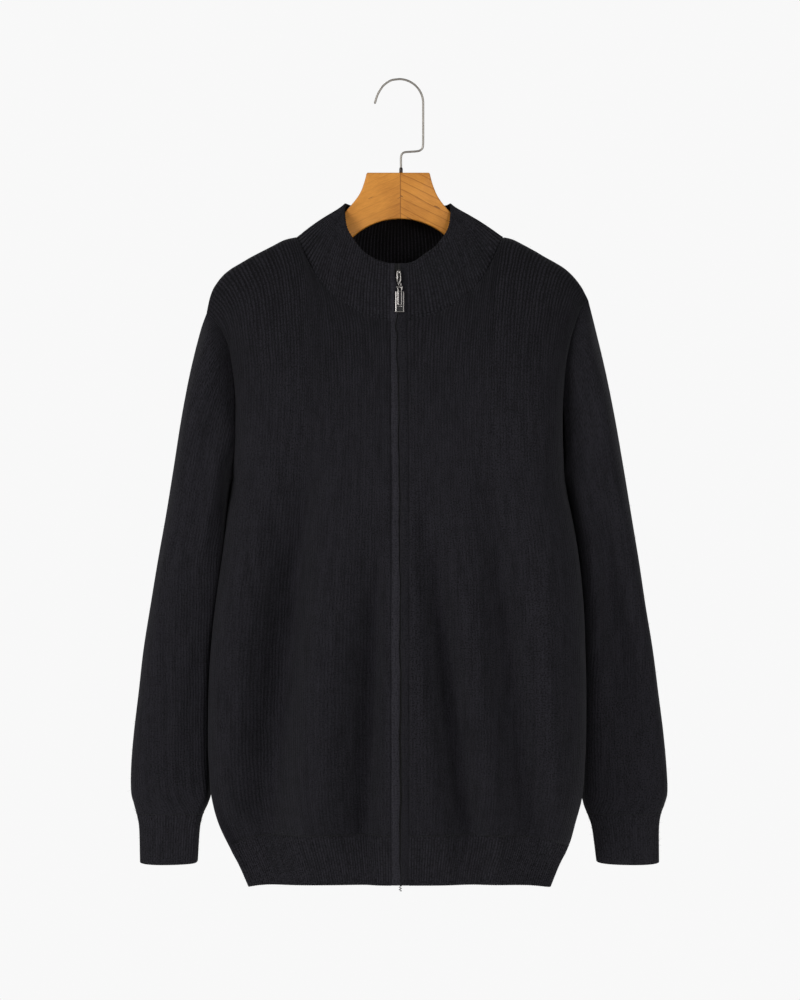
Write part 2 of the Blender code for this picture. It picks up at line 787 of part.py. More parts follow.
def arm_outline(side):
    """Half of the hanger: block, shoulder under the cloth, rounded end and arch."""
    sign = SIDES[side]
    seam = 0.5 + sign * GAP / 2
    upper = [(37, BLOCK_TOP), (38, -112), (40.7, -122.6), (45, -129.5), (50.5, -136.5), (57, -143)]
    upper += [(66, -152.5), (78, -163), (92, -174), (104, -182), (116, -187), (128, -188)]
    for out in (140, 148, 156, 164, 170):
        ridge = -SHOULDER.at(out / tip(side), side)
        upper.append((out, ridge - WALL / 2 - ARM_CLEARANCE))
    end = upper[-1][1]
    upper += [(ARM_END, end - 6.5), (ARM_END + 1.5, end - 12), (ARM_END - 1.5, end - 18)]
    lower = [(ARM_END - 8, end - 20)]
    arch_end = ARCH_TOP - (ARCH_RADIUS - math.sqrt(ARCH_RADIUS ** 2 - ARCH_HALF_SPAN ** 2))
    for i in range(1, 6):
        out = lerp(ARM_END - 8, ARCH_HALF_SPAN, i / 6)
        bow = 3.0 * math.sin(math.pi * i / 6)
        lower.append((out, lerp(end - 20, arch_end, i / 6) + bow))
    for i in range(6):
        out = ARCH_HALF_SPAN * (1 - i / 6)
        height = ARCH_TOP - (ARCH_RADIUS - math.sqrt(ARCH_RADIUS ** 2 - out ** 2))
        lower.append((out, height))
    points = [(sign * x, z) for x, z in upper + lower]
    return [(seam, BLOCK_TOP)] + points + [(seam, ARCH_TOP)]


def arm(side, material, collection):
    outline = arm_outline(side)
    item = outline_plate("hanger_" + side, [outline], 2 * ARM_HALF_THICKNESS, material, collection)
    weld(item)
    bevel = item.modifiers.new("rounding", "BEVEL")
    bevel.width = ARM_ROUNDING * MM
    bevel.segments = 2
    bevel.limit_method = "ANGLE"
    bevel.angle_limit = math.radians(60)


def hook(material, collection):
    cx, cz = HOOK_CENTRE
    points = [(STEM_X, 0, BLOCK_TOP + 0.4), (STEM_X, 0, -92), (STEM_X, 0, -85)]
    points += [(2.2, 0, -81), (5.2, 0, -79.0), (12, 0, -78.4), (19.5, 0, -77.8)]
    points += [(23.4, 0, -76), (25.2, 0, -72.2), (25.5, 0, -50)]
    for i in range(17):
        angle = math.radians(lerp(0, 178, i / 16))
        points.append((cx + HOOK_RADIUS * math.cos(angle), 0, cz + HOOK_RADIUS * math.sin(angle)))
    tube("hook", points, HOOK_WIRE, material, collection)


def ferrule(material, collection):
    """A short turned collar round the hook's stem, standing on the wood."""
    inner = HOOK_WIRE / 2 + GAP
    outer = 3.4
    low = BLOCK_TOP + 0.3
    top = low + 4.6
    profile = [(outer - 0.5, top), (outer, top - 0.5), (outer, low), (inner, low), (inner, top)]
    data = bpy.data.meshes.new("ferrule")
    edges = [(i, (i + 1) % len(profile)) for i in range(len(profile))]
    data.from_pydata([(x * MM, 0, z * MM) for x, z in profile], edges, [])
    item = add_object("ferrule", data, material, collection)
    item.location.x = STEM_X * MM
    screw = item.modifiers.new("turn", "SCREW")
    screw.steps = 16
    screw.render_steps = 16
    screw.use_merge_vertices = True
    screw.merge_threshold = 0.00001


def main():
    clear_scene()
    collection = bpy.data.collections.new(COLLECTION)
    bpy.context.scene.collection.children.link(collection)
    cutters = bpy.data.collections.new("cutters")
    bpy.context.scene.collection.children.link(cutters)
    knit = make_material("knit", (0.012, 0.012, 0.014), 0.95)
    jersey = make_material("jersey", (0.03, 0.03, 0.035), 0.9)
    tape = make_material("zip_tape", (0.01, 0.01, 0.011), 0.8)
    steel = make_material("steel", (0.62, 0.62, 0.62), 0.25, 1.0)
    wood = make_material("wood", (0.6, 0.29, 0.08), 0.5)
    dark_metal = make_material("ferrule_metal", (0.08, 0.08, 0.08), 0.4, 1.0)

    walls = garment_walls()
    shared = shared_normals(walls)
    for name, wall in walls.items():
        add_object(name, wall_mesh(name, wall, shared), knit, collection)
    for name, wall in zip_walls().items():
        material = jersey if name.startswith("facing") else tape
        add_object(name, wall_mesh(name, wall, shared_normals({name: wall})), material, collection)
    plate, bridge = slider(steel, collection)
    join_bridge(plate, bridge, steel, collection, cutters)
    pull(steel, collection)
    for side in SIDES:
        arm(side, wood, collection)
    hook(steel, collection)
    ferrule(dark_metal, collection)


main()
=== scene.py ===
# %% [markdown]
# # A ribbed zip cardigan on a wooden hanger
# The frame holds the plain solids of the garment and its hanger, in metres, with the
# origin inside the top of the hook. Each step below makes one part as it looks close
# up, in the place of its solid.

# %% Load the frame
import math

import bmesh
import bpy
import numpy as np
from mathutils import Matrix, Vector


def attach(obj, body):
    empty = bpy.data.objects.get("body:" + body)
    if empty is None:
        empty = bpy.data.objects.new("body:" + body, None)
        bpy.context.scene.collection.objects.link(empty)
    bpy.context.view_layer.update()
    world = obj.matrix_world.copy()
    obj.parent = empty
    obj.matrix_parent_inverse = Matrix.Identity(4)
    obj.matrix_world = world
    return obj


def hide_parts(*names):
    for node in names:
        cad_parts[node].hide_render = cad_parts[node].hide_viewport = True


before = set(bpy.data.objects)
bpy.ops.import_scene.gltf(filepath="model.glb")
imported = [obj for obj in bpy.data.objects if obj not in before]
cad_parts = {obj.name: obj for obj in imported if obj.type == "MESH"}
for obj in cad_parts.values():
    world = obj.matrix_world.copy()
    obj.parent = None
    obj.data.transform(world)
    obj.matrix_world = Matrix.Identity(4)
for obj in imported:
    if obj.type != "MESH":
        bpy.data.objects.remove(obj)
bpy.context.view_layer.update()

MM = 0.001

# %% [markdown]
# ## The camera
# The picture was taken level, from straight in front, with a long lens: the hanger's
# arch and the hem show no strong perspective. A pixel is 1.1 mm at the middle of the
# garment, four metres away, which settles the lens.

# %% Set the camera
DISTANCE = 4.0
PICTURE_HEIGHT = 1.1
PICTURE_CENTRE = (0.0, -0.4615)
SENSOR = 36.0

camera_data = bpy.data.cameras.new("camera")
camera_data.sensor_width = SENSOR
camera_data.lens = SENSOR * DISTANCE / PICTURE_HEIGHT
camera_data.clip_end = 30
camera = bpy.data.objects.new("camera", camera_data)
camera.location = (PICTURE_CENTRE[0], -DISTANCE, PICTURE_CENTRE[1])
camera.rotation_euler = (math.radians(90), 0, 0)
bpy.context.scene.collection.objects.link(camera)
bpy.context.scene.camera = camera
print("lens", round(camera_data.lens, 1), "mm")

# %% [markdown]
# ## Light and floor
# The garment was lit by broad, soft lights before a plain pale ground. The world looks
# pale and gives much less light than that, so that the black wool keeps its shades. The
# key lamp stands at the left in front and models the folds, the front lamp reaches into
# the troughs, and the fill lifts the right side. Two lamps high up behind light the
# back. The floor lies well below the hem, as under a wardrobe rail.

# %% Light the studio
GROUND = 0.94              # the grey of the ground
AMBIENT = 0.14             # the world's light on the garment, against 1 behind it
FLOOR_GREY = 0.85
FLOOR_Z = -1.5
FLOOR_RADIUS = 3.2
MIDDLE = (0.0, 0.0, -0.45)
LAMPS = {
    # place, size and power of square lamps that face the middle of the garment
    "key": ((-2.85, -2.65, 0.7), 1.8, 86),
    "fill": ((2.8, -2.0, 0.4), 1.2, 20),
    "front": ((1.4, -4.3, -0.2), 1.0, 52),
    "behind_left": ((-1.8, 3.2, 2.2), 1.4, 45),
    "behind_right": ((1.8, 3.2, 2.2), 1.4, 45),
}

world = bpy.data.worlds.new("studio")
world.use_nodes = True
backdrop = world.node_tree.nodes["Background"]
backdrop.inputs["Color"].default_value = (GROUND, GROUND, GROUND, 1)
path = world.node_tree.nodes.new("ShaderNodeLightPath")
level = world.node_tree.nodes.new("ShaderNodeMapRange")
level.inputs["To Min"].default_value = AMBIENT
world.node_tree.links.new(path.outputs["Is Camera Ray"], level.inputs["Value"])
world.node_tree.links.new(level.outputs["Result"], backdrop.inputs["Strength"])
bpy.context.scene.world = world
bpy.context.scene.view_settings.view_transform = "Standard"

for name, (place, size, power) in LAMPS.items():
    data = bpy.data.lights.new(name, "AREA")
    data.size = size
    data.energy = power
    item = bpy.data.objects.new(name, data)
    item.location = place
    item.rotation_euler = (Vector(MIDDLE) - Vector(place)).to_track_quat("-Z", "Y").to_euler()
    bpy.context.scene.collection.objects.link(item)

bpy.ops.mesh.primitive_circle_add(
    vertices=96, radius=FLOOR_RADIUS, fill_type="NGON", location=(0, 0, FLOOR_Z)
)
floor = bpy.context.object
floor.name = "floor"
pale_floor = bpy.data.materials.new("pale_floor")
pale_floor.use_nodes = True
grey = (FLOOR_GREY, FLOOR_GREY, FLOOR_GREY, 1)
pale_floor.node_tree.nodes["Principled BSDF"].inputs["Base Color"].default_value = grey
floor.data.materials.append(pale_floor)
print("lamps and floor are in place")

# %% [markdown]
# ## A small language for finishes
# A finish is easier to read as arithmetic than as a drawing of nodes. `Reading` wraps a
# socket, so that adding or multiplying readings adds the Math nodes. `Finish` starts a
# material, makes any other node from its settings and inputs, and feeds the shader.

# %% Wrap sockets and nodes


class Reading:
    """A value that changes over a surface, and takes part in Python arithmetic."""

    def __init__(self, finish, socket):
        self.finish = finish
        self.socket = socket

    def math(self, operation, first, second=0.0):
        return self.finish.node("Math", {"operation": operation}, {0: first, 1: second})

    def __add__(self, other):
        return self.math("ADD", self, other)

    def __sub__(self, other):
        return self.math("SUBTRACT", self, other)

    def __rsub__(self, other):
        return self.math("SUBTRACT", other, self)

    def __mul__(self, other):
        return self.math("MULTIPLY", self, other)

    def __truediv__(self, other):
        return self.math("DIVIDE", self, other)

    def __pow__(self, other):
        return self.math("POWER", self, other)

    __radd__ = __add__

    def clamp(self):
        return self.math("MAXIMUM", self.math("MINIMUM", self, 1.0), 0.0)


class Finish:
    """A material being made."""

    def __init__(self, name, roughness, metallic=0.0, **constants):
        self.material = bpy.data.materials.new(name)
        self.material.use_nodes = True
        self.tree = self.material.node_tree
        self.shader = self.tree.nodes["Principled BSDF"]
        self.shader.inputs["Roughness"].default_value = roughness
        self.shader.inputs["Metallic"].default_value = metallic
        for name, value in constants.items():
            self.shader.inputs[name.replace("_", " ")].default_value = value

    def node(self, kind, settings, inputs, output=0):
        made = self.tree.nodes.new("ShaderNode" + kind)
        for name, value in settings.items():
            setattr(made, name, value)
        for name, value in inputs.items():
            self.feed(made.inputs[name], value)
        return Reading(self, made.outputs[output])

    def feed(self, socket, value):
        if isinstance(value, Reading):
            self.tree.links.new(value.socket, socket)
        else:
            socket.default_value = value

    def place(self, space="Object"):
        return self.node("TexCoord", {}, {}, output=space)

    def part(self, vector, axis):
        return self.node("SeparateXYZ", {}, {0: vector}, output=axis)

    def noise(self, vector, scale, detail=2.0):
        return self.node("TexNoise", {}, {"Vector": vector, "Scale": scale, "Detail": detail})

    def mix(self, factor, first, second):
        """A colour between two colours."""
        return self.node("Mix", {"data_type": "RGBA"}, {0: factor, 6: first, 7: second}, output=2)

    def bump(self, height, distance):
        bumped = self.node("Bump", {}, {"Height": height, "Distance": distance, "Strength": 1.0})
        self.feed(self.shader.inputs["Normal"], bumped)

    def paint(self, name, value):
        self.feed(self.shader.inputs[name], value)


print("finishes can be written as sums")

# %% [markdown]
# ## Knitted wool
# Plain knitting is made of wales, columns of V-shaped stitches 4 mm apart on the body.
# The groove between two wales is painted darker, which is painted shade, and fuzz hides
# more of it lower down, where the cloth is worn. The sheets below carry a UV map in
# metres, with U across the wales and V along them, so the pattern runs with the yarn over
# the shoulders and down the sleeves. Fine noise stands for the fibres, coarser noise for
# uneven stitches and patches, and the sheen of the shader for loose fibres that catch
# light at the edges.

# %% Make the wool finishes
BLACK_WOOL = (0.0025, 0.0025, 0.0028, 1)
GREY_FUZZ = (0.0188, 0.0178, 0.0222, 1)
RIB_FUZZ = (0.0210, 0.0199, 0.0247, 1)
WORN_BELOW = 0.2           # fuzz grows from this drop below the hook, in metres
WORN_RATE = 5.0


def wool(
    name, wale, course, depth, dark=BLACK_WOOL, light=GREY_FUZZ, groove_shade=0.95, worn=0.74, wander=1.0
):
    """Knitted cloth; wale and course are the stitch's width and height in metres.

    depth is the bump's height, groove_shade the painted shade put in the grooves between
    the wales, worn the share of it lost to fuzz lower down, and wander how far the wales stray.
    """
    finish = Finish(name, 0.95, Specular_IOR_Level=0.08, Sheen_Weight=0.05, Sheen_Roughness=0.5)
    finish.shader.inputs["Sheen Tint"].default_value = (0.75, 0.76, 0.8, 1)
    uv = finish.place("UV")
    sway = finish.node("Mapping", {}, {"Vector": uv, "Scale": (90.0, 26.0, 1.0)})
    across = (finish.part(uv, "X") + (finish.noise(sway, 1.0, 1.0) - 0.5) * (wale * wander)) / wale
    side = across.math("ABSOLUTE", across.math("FRACT", across) - 0.5) * 2.0
    ridge = 1.0 - side ** 1.3
    slant = finish.part(uv, "Y") / course + side * 0.5
    stitch = slant.math("SINE", slant * (2 * math.pi)) * 0.5 + 0.5
    along = finish.node("Mapping", {}, {"Vector": uv, "Scale": (0.55 / wale, 22.0, 1.0)})
    uneven = finish.noise(along, 1.0, 2.0)
    fibre = finish.noise(uv, 620.0, 4.0)
    patch = finish.noise(uv, 90.0, 3.0)
    height = ridge * (stitch * 0.3 + 0.7) + fibre * 0.6
    finish.bump(height, depth)
    lower = ((WORN_BELOW + finish.part(finish.place(), "Z")) * -WORN_RATE).clamp()
    fuzz = lower * (groove_shade * worn)
    # Painted shade: the grooves between the wales are painted darker, less where fuzz fills them.
    shade = 1.0 - (1.0 - ridge) * (groove_shade - fuzz)
    shade = shade * (fibre * 3.8 - 1.15) * (uneven * 1.2 + 0.4) * (patch * 0.8 + 0.6)
    finish.paint("Base Color", finish.mix(shade.clamp(), dark, light))
    return finish.material


body_wool = wool("body_wool", 0.0040, 0.0024, 0.0005)
sleeve_wool = wool("sleeve_wool", 0.0032, 0.0022, 0.0005, groove_shade=0.26)
rib = {"wale": 0.0029, "course": 0.0018, "depth": 0.0005, "light": RIB_FUZZ, "wander": 0.0}
rib_wool = wool("rib_wool", **rib, groove_shade=1.0, worn=0.4)
worn_rib = wool("worn_rib", **rib, groove_shade=0.15)
print("wool:", body_wool.name, rib_wool.name)

# %% [markdown]
# ## Jersey, tape and yarn
# The facing bands are a much finer knit, matte and paler than the wool. The left one is
# painted paler still, as painted light falling on it from the left. The tape is woven.
# The yarn of the seams and the loose hairs are too thin to need a pattern.

# %% Make the other cloth finishes


def jersey(name, dark, light):
    return wool(name, 0.0009, 0.0009, 0.0004, dark, light, groove_shade=0.3)


# Painted light: the left band is a paler copy of the jersey, for the light from the left.
band_jersey = {
    "left": jersey("jersey_left_painted_light", (0.008, 0.0077, 0.0095, 1), (0.033, 0.0315, 0.0385, 1)),
    "right": jersey("jersey_right", (0.004, 0.0038, 0.005, 1), (0.019, 0.0182, 0.0222, 1)),
}


def plain(name, color, roughness, metallic=0.0, grain=0.0, grain_scale=900.0, **constants):
    """One colour with a fine mottle in its shade and surface."""
    finish = Finish(name, roughness, metallic, **constants)
    mottle = finish.noise(finish.place(), grain_scale, 3.0)
    darker = tuple(value * 0.6 for value in color[:3]) + (1,)
    finish.paint("Base Color", finish.mix(mottle, darker, color))
    finish.paint("Roughness", mottle * 0.2 + (roughness - 0.1))
    if grain:
        finish.bump(mottle, grain)
    return finish.material


tape_weave = plain("tape_weave", (0.008, 0.008, 0.009, 1), 0.8, grain=0.0002)
seam_yarn = plain("seam_yarn", (0.005, 0.005, 0.006, 1), 0.9, grain=0.0002)
hair_black = plain("hair_black", (0.02, 0.02, 0.023, 1), 0.9)
hair_pale = plain("hair_pale", (0.16, 0.16, 0.17, 1), 0.9)
print("cloth finishes are ready")

# %% [markdown]
# ## Metal and wood
# The slider is nickel that has darkened in its hollows. The hook is plain steel wire.
# The hanger's lacquered wood has its grain rising towards the middle on the left board
# and falling away from it on the right one, with growth lines, fine streaks and a few dark
# flecks. Where the boards meet, a dark line is painted shade for the groove between them.

# %% Make the hard finishes
aged_nickel = plain("aged_nickel", (0.34, 0.32, 0.305, 1), 0.28, 1.0, grain_scale=700.0)
dull_nickel = plain("dull_nickel", (0.05, 0.047, 0.05, 1), 0.35, 1.0, grain_scale=700.0)
black_enamel = plain("black_enamel", (0.004, 0.004, 0.004, 1), 0.3)
tooth_metal = plain("tooth_metal", (0.012, 0.012, 0.011, 1), 0.5, 0.4)
steel = plain("hook_steel", (0.4, 0.37, 0.33, 1), 0.42, 0.75, grain_scale=300.0)
dark_brass = plain("dark_brass", (0.06, 0.05, 0.045, 1), 0.4, 1.0)

RINGS_A_METRE = 120.0
BOARD_JOINT_X = 0.0005            # where the boards meet
JOINT_SHADE_WIDTH = 0.0009


def board_wood(name, slope, lines):
    """Lacquered wood whose grain climbs at an angle in degrees; lines is their strength."""
    finish = Finish(name, 0.5, Coat_Weight=0.06, Coat_Roughness=0.3, Specular_IOR_Level=0.25)
    place = finish.place()
    turned = finish.node("Mapping", {}, {"Vector": place, "Rotation": (0, math.radians(slope), 0)})
    stretched = finish.node("Mapping", {}, {"Vector": turned, "Scale": (0.12, 1, 1)})
    sway = finish.noise(stretched, 60.0, 2.0)
    height = finish.part(turned, "Z") + sway * 0.012
    line = height.math("FRACT", height * RINGS_A_METRE) ** 12.0
    streak = finish.noise(stretched, 900.0, 3.0)
    cloud = finish.noise(turned, 26.0, 2.0)
    fleck = finish.noise(stretched, 240.0, 1.0)
    fleck = fleck.math("GREATER_THAN", fleck, 0.735) * 0.7
    shade = (line * lines + (streak - 0.5) * 0.9 + (cloud - 0.5) * 1.5 + 0.25).clamp()
    honey = finish.mix(shade, (0.68, 0.28, 0.044, 1), (0.38, 0.13, 0.016, 1))
    # Painted shade: a dark line along the boards' joint stands for the shade in its groove.
    aside = finish.part(place, "X") - BOARD_JOINT_X
    joint_shade = (1.0 - aside.math("ABSOLUTE", aside) / JOINT_SHADE_WIDTH).clamp() * 0.8
    honey = finish.mix(joint_shade, honey, (0.2, 0.065, 0.012, 1))
    finish.paint("Base Color", finish.mix(fleck, honey, (0.16, 0.06, 0.018, 1)))
    finish.paint("Roughness", streak * 0.2 + 0.42)
    finish.bump(streak * 0.6 + line * 0.4, 0.00012)
    return finish.material


wood = {
    "left": board_wood("honey_wood_left", 24.0, 0.35),
    "right": board_wood("honey_wood_right", -27.0, 1.1),
}
print("hard finishes are ready")

# %% [markdown]
# ## The sizes of the garment
# The body is described by how wide and deep it is at each drop below the hook, the
# armhole by its seam, the shoulders by their ridge and the sleeves by their rings. The
# rows are read with a smooth curve between them. All are millimetres.

# %% Write the tables


class Table:
    """Rows of sizes under named columns, read smoothly between the rows."""

    def __init__(self, columns, *rows):
        self.columns = columns.split()
        self.rows = np.array(rows, float)
        self.keys = self.rows[:, 0]

    def at(self, key, name):
        values = self.rows[:, self.columns.index(name)]
        return smooth_read(self.keys, values, key)


def smooth_read(keys, values, key):
    """Values between the keys of a curve that passes through all of them."""
    slopes = np.gradient(values, keys, axis=0)
    key = np.clip(key, keys[0], keys[-1])
    low = np.clip(np.searchsorted(keys, key, side="right") - 1, 0, len(keys) - 2)
    width = keys[low + 1] - keys[low]
    t = (key - keys[low]) / width
    if values.ndim > 1:
        width = width.reshape(-1, *[1] * (values.ndim - 1))
        t = t.reshape(width.shape)
    rise = values[low + 1] - values[low]
    start = slopes[low] * width - rise
    end = rise - slopes[low + 1] * width
    return values[low] + rise * t + t * (1 - t) * ((1 - t) * start + t * end)


def smooth_curve(corners, count):
    """Points of a smooth curve through a few corners."""
    corners = np.array(corners, float)
    steps = np.arange(len(corners) + 0.0)
    return smooth_read(steps, corners, np.linspace(0, steps[-1], count))


BODY = Table(
    "drop left right front back seam square",
    (173, 150, 150, -50, 42, 0, 5.0),
    (250, 178, 178, -62, 58, 0, 6.6),
    (350, 178, 178, -72, 70, 0, 8.0),
    (440, 184.5, 181, -78, 75, 12, 8.5),
    (455, 186, 183, -79, 76, 6, 8.4),
    (475, 189, 187, -80, 76, 0, 8.2),
    (505, 192.5, 192.5, -81, 77, -5, 7.8),
    (570, 201, 200, -83, 78, -8, 7.2),
    (630, 207, 202.5, -85, 79, -8, 7.0),
    (690, 209.5, 203.5, -86, 80, -8, 6.8),
    (750, 209, 202, -86, 79, -8, 6.4),
    (790, 205.5, 198.5, -84, 78, -7, 5.4),
    (815, 199, 192, -81, 75, -5, 4.0),
    (842, 186.5, 184, -77, 72, -4, 3.0),
    (858, 177.5, 175.5, -74, 69, -4, 2.8),
    (886, 165, 164, -70, 66, -3, 2.6),
)
ARMHOLE = Table(
    "rise left right front back",
    (0.0, 184.5, 181, 12, 12),
    (0.1, 183, 179, -2, 34),
    (0.25, 181, 177.5, -12, 48),
    (0.5, 179.5, 178.5, -16, 54),
    (0.7, 184, 183, -15, 49),
    (0.82, 188.5, 188.5, -13, 39),
    (0.9, 195, 194, -10, 28),
    (0.96, 204, 199, -6, 16),
    (1.0, 212, 206, 0, 0),
)
SHOULDER = Table(
    "share left right",
    (0.53, 173, 172.5),
    (0.60, 176.5, 175.8),
    (0.66, 183, 182),
    (0.72, 189.5, 188.7),
    (0.77, 195, 194.8),
    (0.83, 202.5, 201.7),
    (0.875, 208.2, 207.5),
    (0.915, 215.2, 214.8),
    (0.945, 223, 222),
    (0.97, 232, 229.5),
    (0.985, 241.5, 235.5),
    (1.0, 257, 241.5),
)
NECK = Table(
    "out front_drop back_drop front back",
    (0, 268.5, 200, -52, 42),
    (22, 265, 199.5, -51, 41),
    (49.5, 254.5, 198, -47, 38),
    (77, 235.5, 193, -39, 31),
    (99, 205.5, 184, -25, 20),
    (110, 181, 176, -10, 9),
    (113, 173, 173, 0, 0),
)
COLLAR_TOP = Table(
    "turn left right depth drop",
    (0, 0, 0, -50, 204.5),
    (9, 9.5, 9.5, -49.7, 204.3),
    (20, 21, 18, -48, 201.5),
    (35, 35.5, 27.5, -43, 194),
    (50, 47, 41.5, -34, 182),
    (60, 56.5, 51.5, -26, 167),
    (75, 60.5, 55.5, -13, 148),
    (90, 60.5, 55.5, 0, 138),
    (120, 52, 49, 24, 136),
    (150, 29.5, 28.5, 40, 136),
    (180, 0, 0, 46, 136),
)
SLEEVE = Table(
    "row in_drop out_drop in_left in_right out_left out_right in_y out_y front back bow",
    (1, 443, 276, 187, 183.5, 219, 215, 19, 6, -32, 58, 9),
    (2, 451, 317, 187.5, 184.5, 229.5, 225, 24, 10, -39, 62, 3),
    (3, 463, 367, 188, 186, 239, 235, 28, 13, -42, 65, 0),
    (4, 480, 426, 189.5, 188.5, 248.5, 245.5, 31, 17, -42, 67, 0),
    (5, 506, 477, 192, 192.5, 257, 254, 33, 21, -39, 68, 0),
    (6, 541, 526, 195.5, 196.5, 266, 262, 34, 25, -36, 68, 0),
    (7, 585, 578, 200.5, 199.5, 275, 270, 34, 29, -26, 67, 0),
    (8, 630, 627, 205.5, 201.5, 283, 278.5, 35, 31, -17, 67, 0),
    (9, 675, 674, 208, 202.5, 288.5, 285, 35, 32, -9, 66, 0),
    (10, 720, 720, 209, 202.5, 294, 291, 34, 32, -4, 64, 0),
    (11, 757, 757, 209.5, 202, 297, 294.5, 33, 32, -1, 62, 0),
    (12, 784, 784, 210, 202, 297, 295.5, 32, 31, 0, 60, 0),
    (13, 797, 797, 213.5, 204, 294, 292.5, 31, 30, 2, 58, 0),
    (14, 808, 808, 218.5, 208, 291, 288.5, 30, 29, 4, 55, 0),
    (15, 824, 824, 222.5, 213.5, 288, 286, 29, 29, 5, 53, 0),
    (16, 861, 862, 225, 218.5, 287, 286, 29, 29, 6, 52, 0),
)
CUFF_SEAM_ROW = 14
CUFF_HEM_ROW = 16
PLACKET = Table(
    "drop gap spread left right",
    (200, -2.6, 2.4, -10.0, 6.9),
    (214, -2.4, 2.4, -10.0, 6.9),
    (234, -2.2, 1.0, -10.0, 7.0),
    (258, -2.2, 0.6, -10.0, 7.0),
    (266, -3.4, 0.6, -9.9, 7.1),
    (273, -4.9, 0.7, -9.9, 7.2),
    (281, -3.0, 0.6, -9.9, 7.3),
    (300, -2.9, 0.6, -9.8, 7.6),
    (340, -1.9, 0.6, -9.6, 8.4),
    (450, -0.8, 0.6, -9.2, 9.0),
    (560, 0.1, 0.6, -8.8, 9.2),
    (860, 0.4, 0.5, -9.0, 9.3),
    (885, 0.4, 0.2, -9.0, 9.3),
)
SIDES = {"left": -1.0, "right": 1.0}
ARM_PIT = 440.0
NECK_POINT = 113.0
PANEL_START = 9.44
BACK_SQUARE = 2.6
HEM_SEAM = {"front": 824.0, "back": 828.0, "side": 841.0}
HEM_EDGE = {"front": 878.0, "back": 882.0, "side": 885.5}
print("body", BODY.rows.shape, "sleeve", SLEEVE.rows.shape)

# %% [markdown]
# ## The folds
# Soft cloth hangs in long troughs (a rise below zero) and ridges that start under the
# chest and run down to the hem, which gathers them. The main ones are in the solids too,
# though shallower. The creases are only here: drag lines that fan out from the armpits,
# and slight waves between the folds.

# %% List the folds
FOLDS = {
    "front": (
        # x and drop at the top, x at the hem, widths to the left and right, rise
        (-90, 330, -143, 58, 23, -60),
        (-66, 470, -96, 15, 15, 3),
        (-21, 440, -37, 30, 12, -33),
        (19, 390, 72, 21, 20, -31),
        (58, 500, 100, 13, 13, 4),
        (86, 330, 140, 28, 20, -27),
        (146, 440, 172, 14, 14, 5),
    ),
    "back": (
        (-120, 470, -142, 20, 20, -9),
        (-60, 540, -82, 18, 18, 4),
        (-12, 500, -20, 17, 17, -8),
        (52, 560, 66, 18, 18, 4),
        (104, 460, 128, 19, 19, -9),
    ),
}
CREASES = {
    # x and drop at each end, half width, rise
    "front": (
        (-176, 395, -120, 520, 9, -2.2),
        (-170, 440, -138, 600, 8, 1.6),
        (-160, 330, -110, 360, 10, -1.2),
        (176, 400, 128, 500, 9, -2.0),
        (172, 455, 150, 590, 8, 1.4),
        (150, 330, 112, 380, 10, -1.0),
        (-60, 300, -48, 420, 12, -1.0),
        (70, 320, 60, 450, 12, -1.2),
        (-20, 620, -28, 800, 7, 1.4),
        (30, 640, 34, 800, 7, 1.3),
        (-90, 650, -100, 810, 7, -1.5),
        (100, 640, 108, 800, 7, 1.5),
        (-190, 560, -186, 760, 8, -1.6),
        (184, 580, 180, 770, 8, -1.6),
    ),
    "back": (
        (-170, 400, -118, 520, 10, -2.2),
        (168, 390, 120, 510, 10, -2.4),
        (-40, 260, -36, 420, 14, -1.2),
        (52, 250, 44, 400, 14, -1.2),
        (-100, 600, -110, 800, 8, 1.6),
        (24, 620, 26, 810, 8, 1.5),
        (84, 640, 92, 800, 8, -1.6),
        (180, 580, 178, 760, 9, -1.6),
        (-182, 590, -180, 770, 9, -1.4),
    ),
}


def lerp(a, b, t):
    return a + (b - a) * t


def smoothstep(a, b, x):
    t = np.clip((x - a) / (b - a), 0.0, 1.0)
    return t * t * (3 - 2 * t)


def folds(face, x, drop):
    """How far the folds and creases push the cloth out at a place."""
    total = np.zeros_like(x)
    for top_x, top_drop, hem_x, left, right, rise in FOLDS[face]:
        along = (drop - top_drop) / (HEM_SEAM[face] - top_drop)
        middle = lerp(top_x, hem_x, along)
        growth = smoothstep(0, 0.65, along) * (1 - 0.75 * smoothstep(0.93, 1.12, along))
        spread = np.where(x < middle, left, right) * lerp(0.6, 1.0, np.clip(along, 0, 1))
        total += np.where(along > 0, rise * growth * np.exp(-((x - middle) / spread) ** 2), 0)
    for x0, drop0, x1, drop1, width, rise in CREASES[face]:
        run = Vector((x1 - x0, drop1 - drop0))
        along = ((x - x0) * run.x + (drop - drop0) * run.y) / run.length_squared
        aside = ((x - x0) * run.y - (drop - drop0) * run.x) / run.length
        swell = np.sin(math.pi * np.clip(along, 0, 1)) ** 1.5
        total += rise * swell * np.exp(-(aside / width) ** 2)
    return total


print("folds:", {face: len(FOLDS[face]) + len(CREASES[face]) for face in FOLDS})

# %% [markdown]
# ## The body's surface
# Any point of the body is found from its share of the way from the middle to the side
# and its level: 0 at the hem's seam, 1 at the armpit and 2 at the neck or shoulder. The
# front is squarer across than the back. Towards the shoulder it rolls over the hanger.

# %% Find a point of the body


def hem_drop(face, share, down=0.0):
    """Drop of the hem's seam (down 0) or lower edge (down 1)."""
    seam = lerp(HEM_SEAM[face], HEM_SEAM["side"], share ** 5)
    edge = lerp(HEM_EDGE[face], HEM_EDGE["side"], share ** 5)
    return lerp(seam, edge, down)


def to_placket(side, x, drop):
    """Shift the cloth beside the zip so that it ends at the band's far edge."""
    edge = PLACKET.at(drop, side) + SIDES[side] * 0.4
    return x + (edge - SIDES[side] * PANEL_START) * np.exp(-((np.abs(x) - PANEL_START) / 24) ** 2)


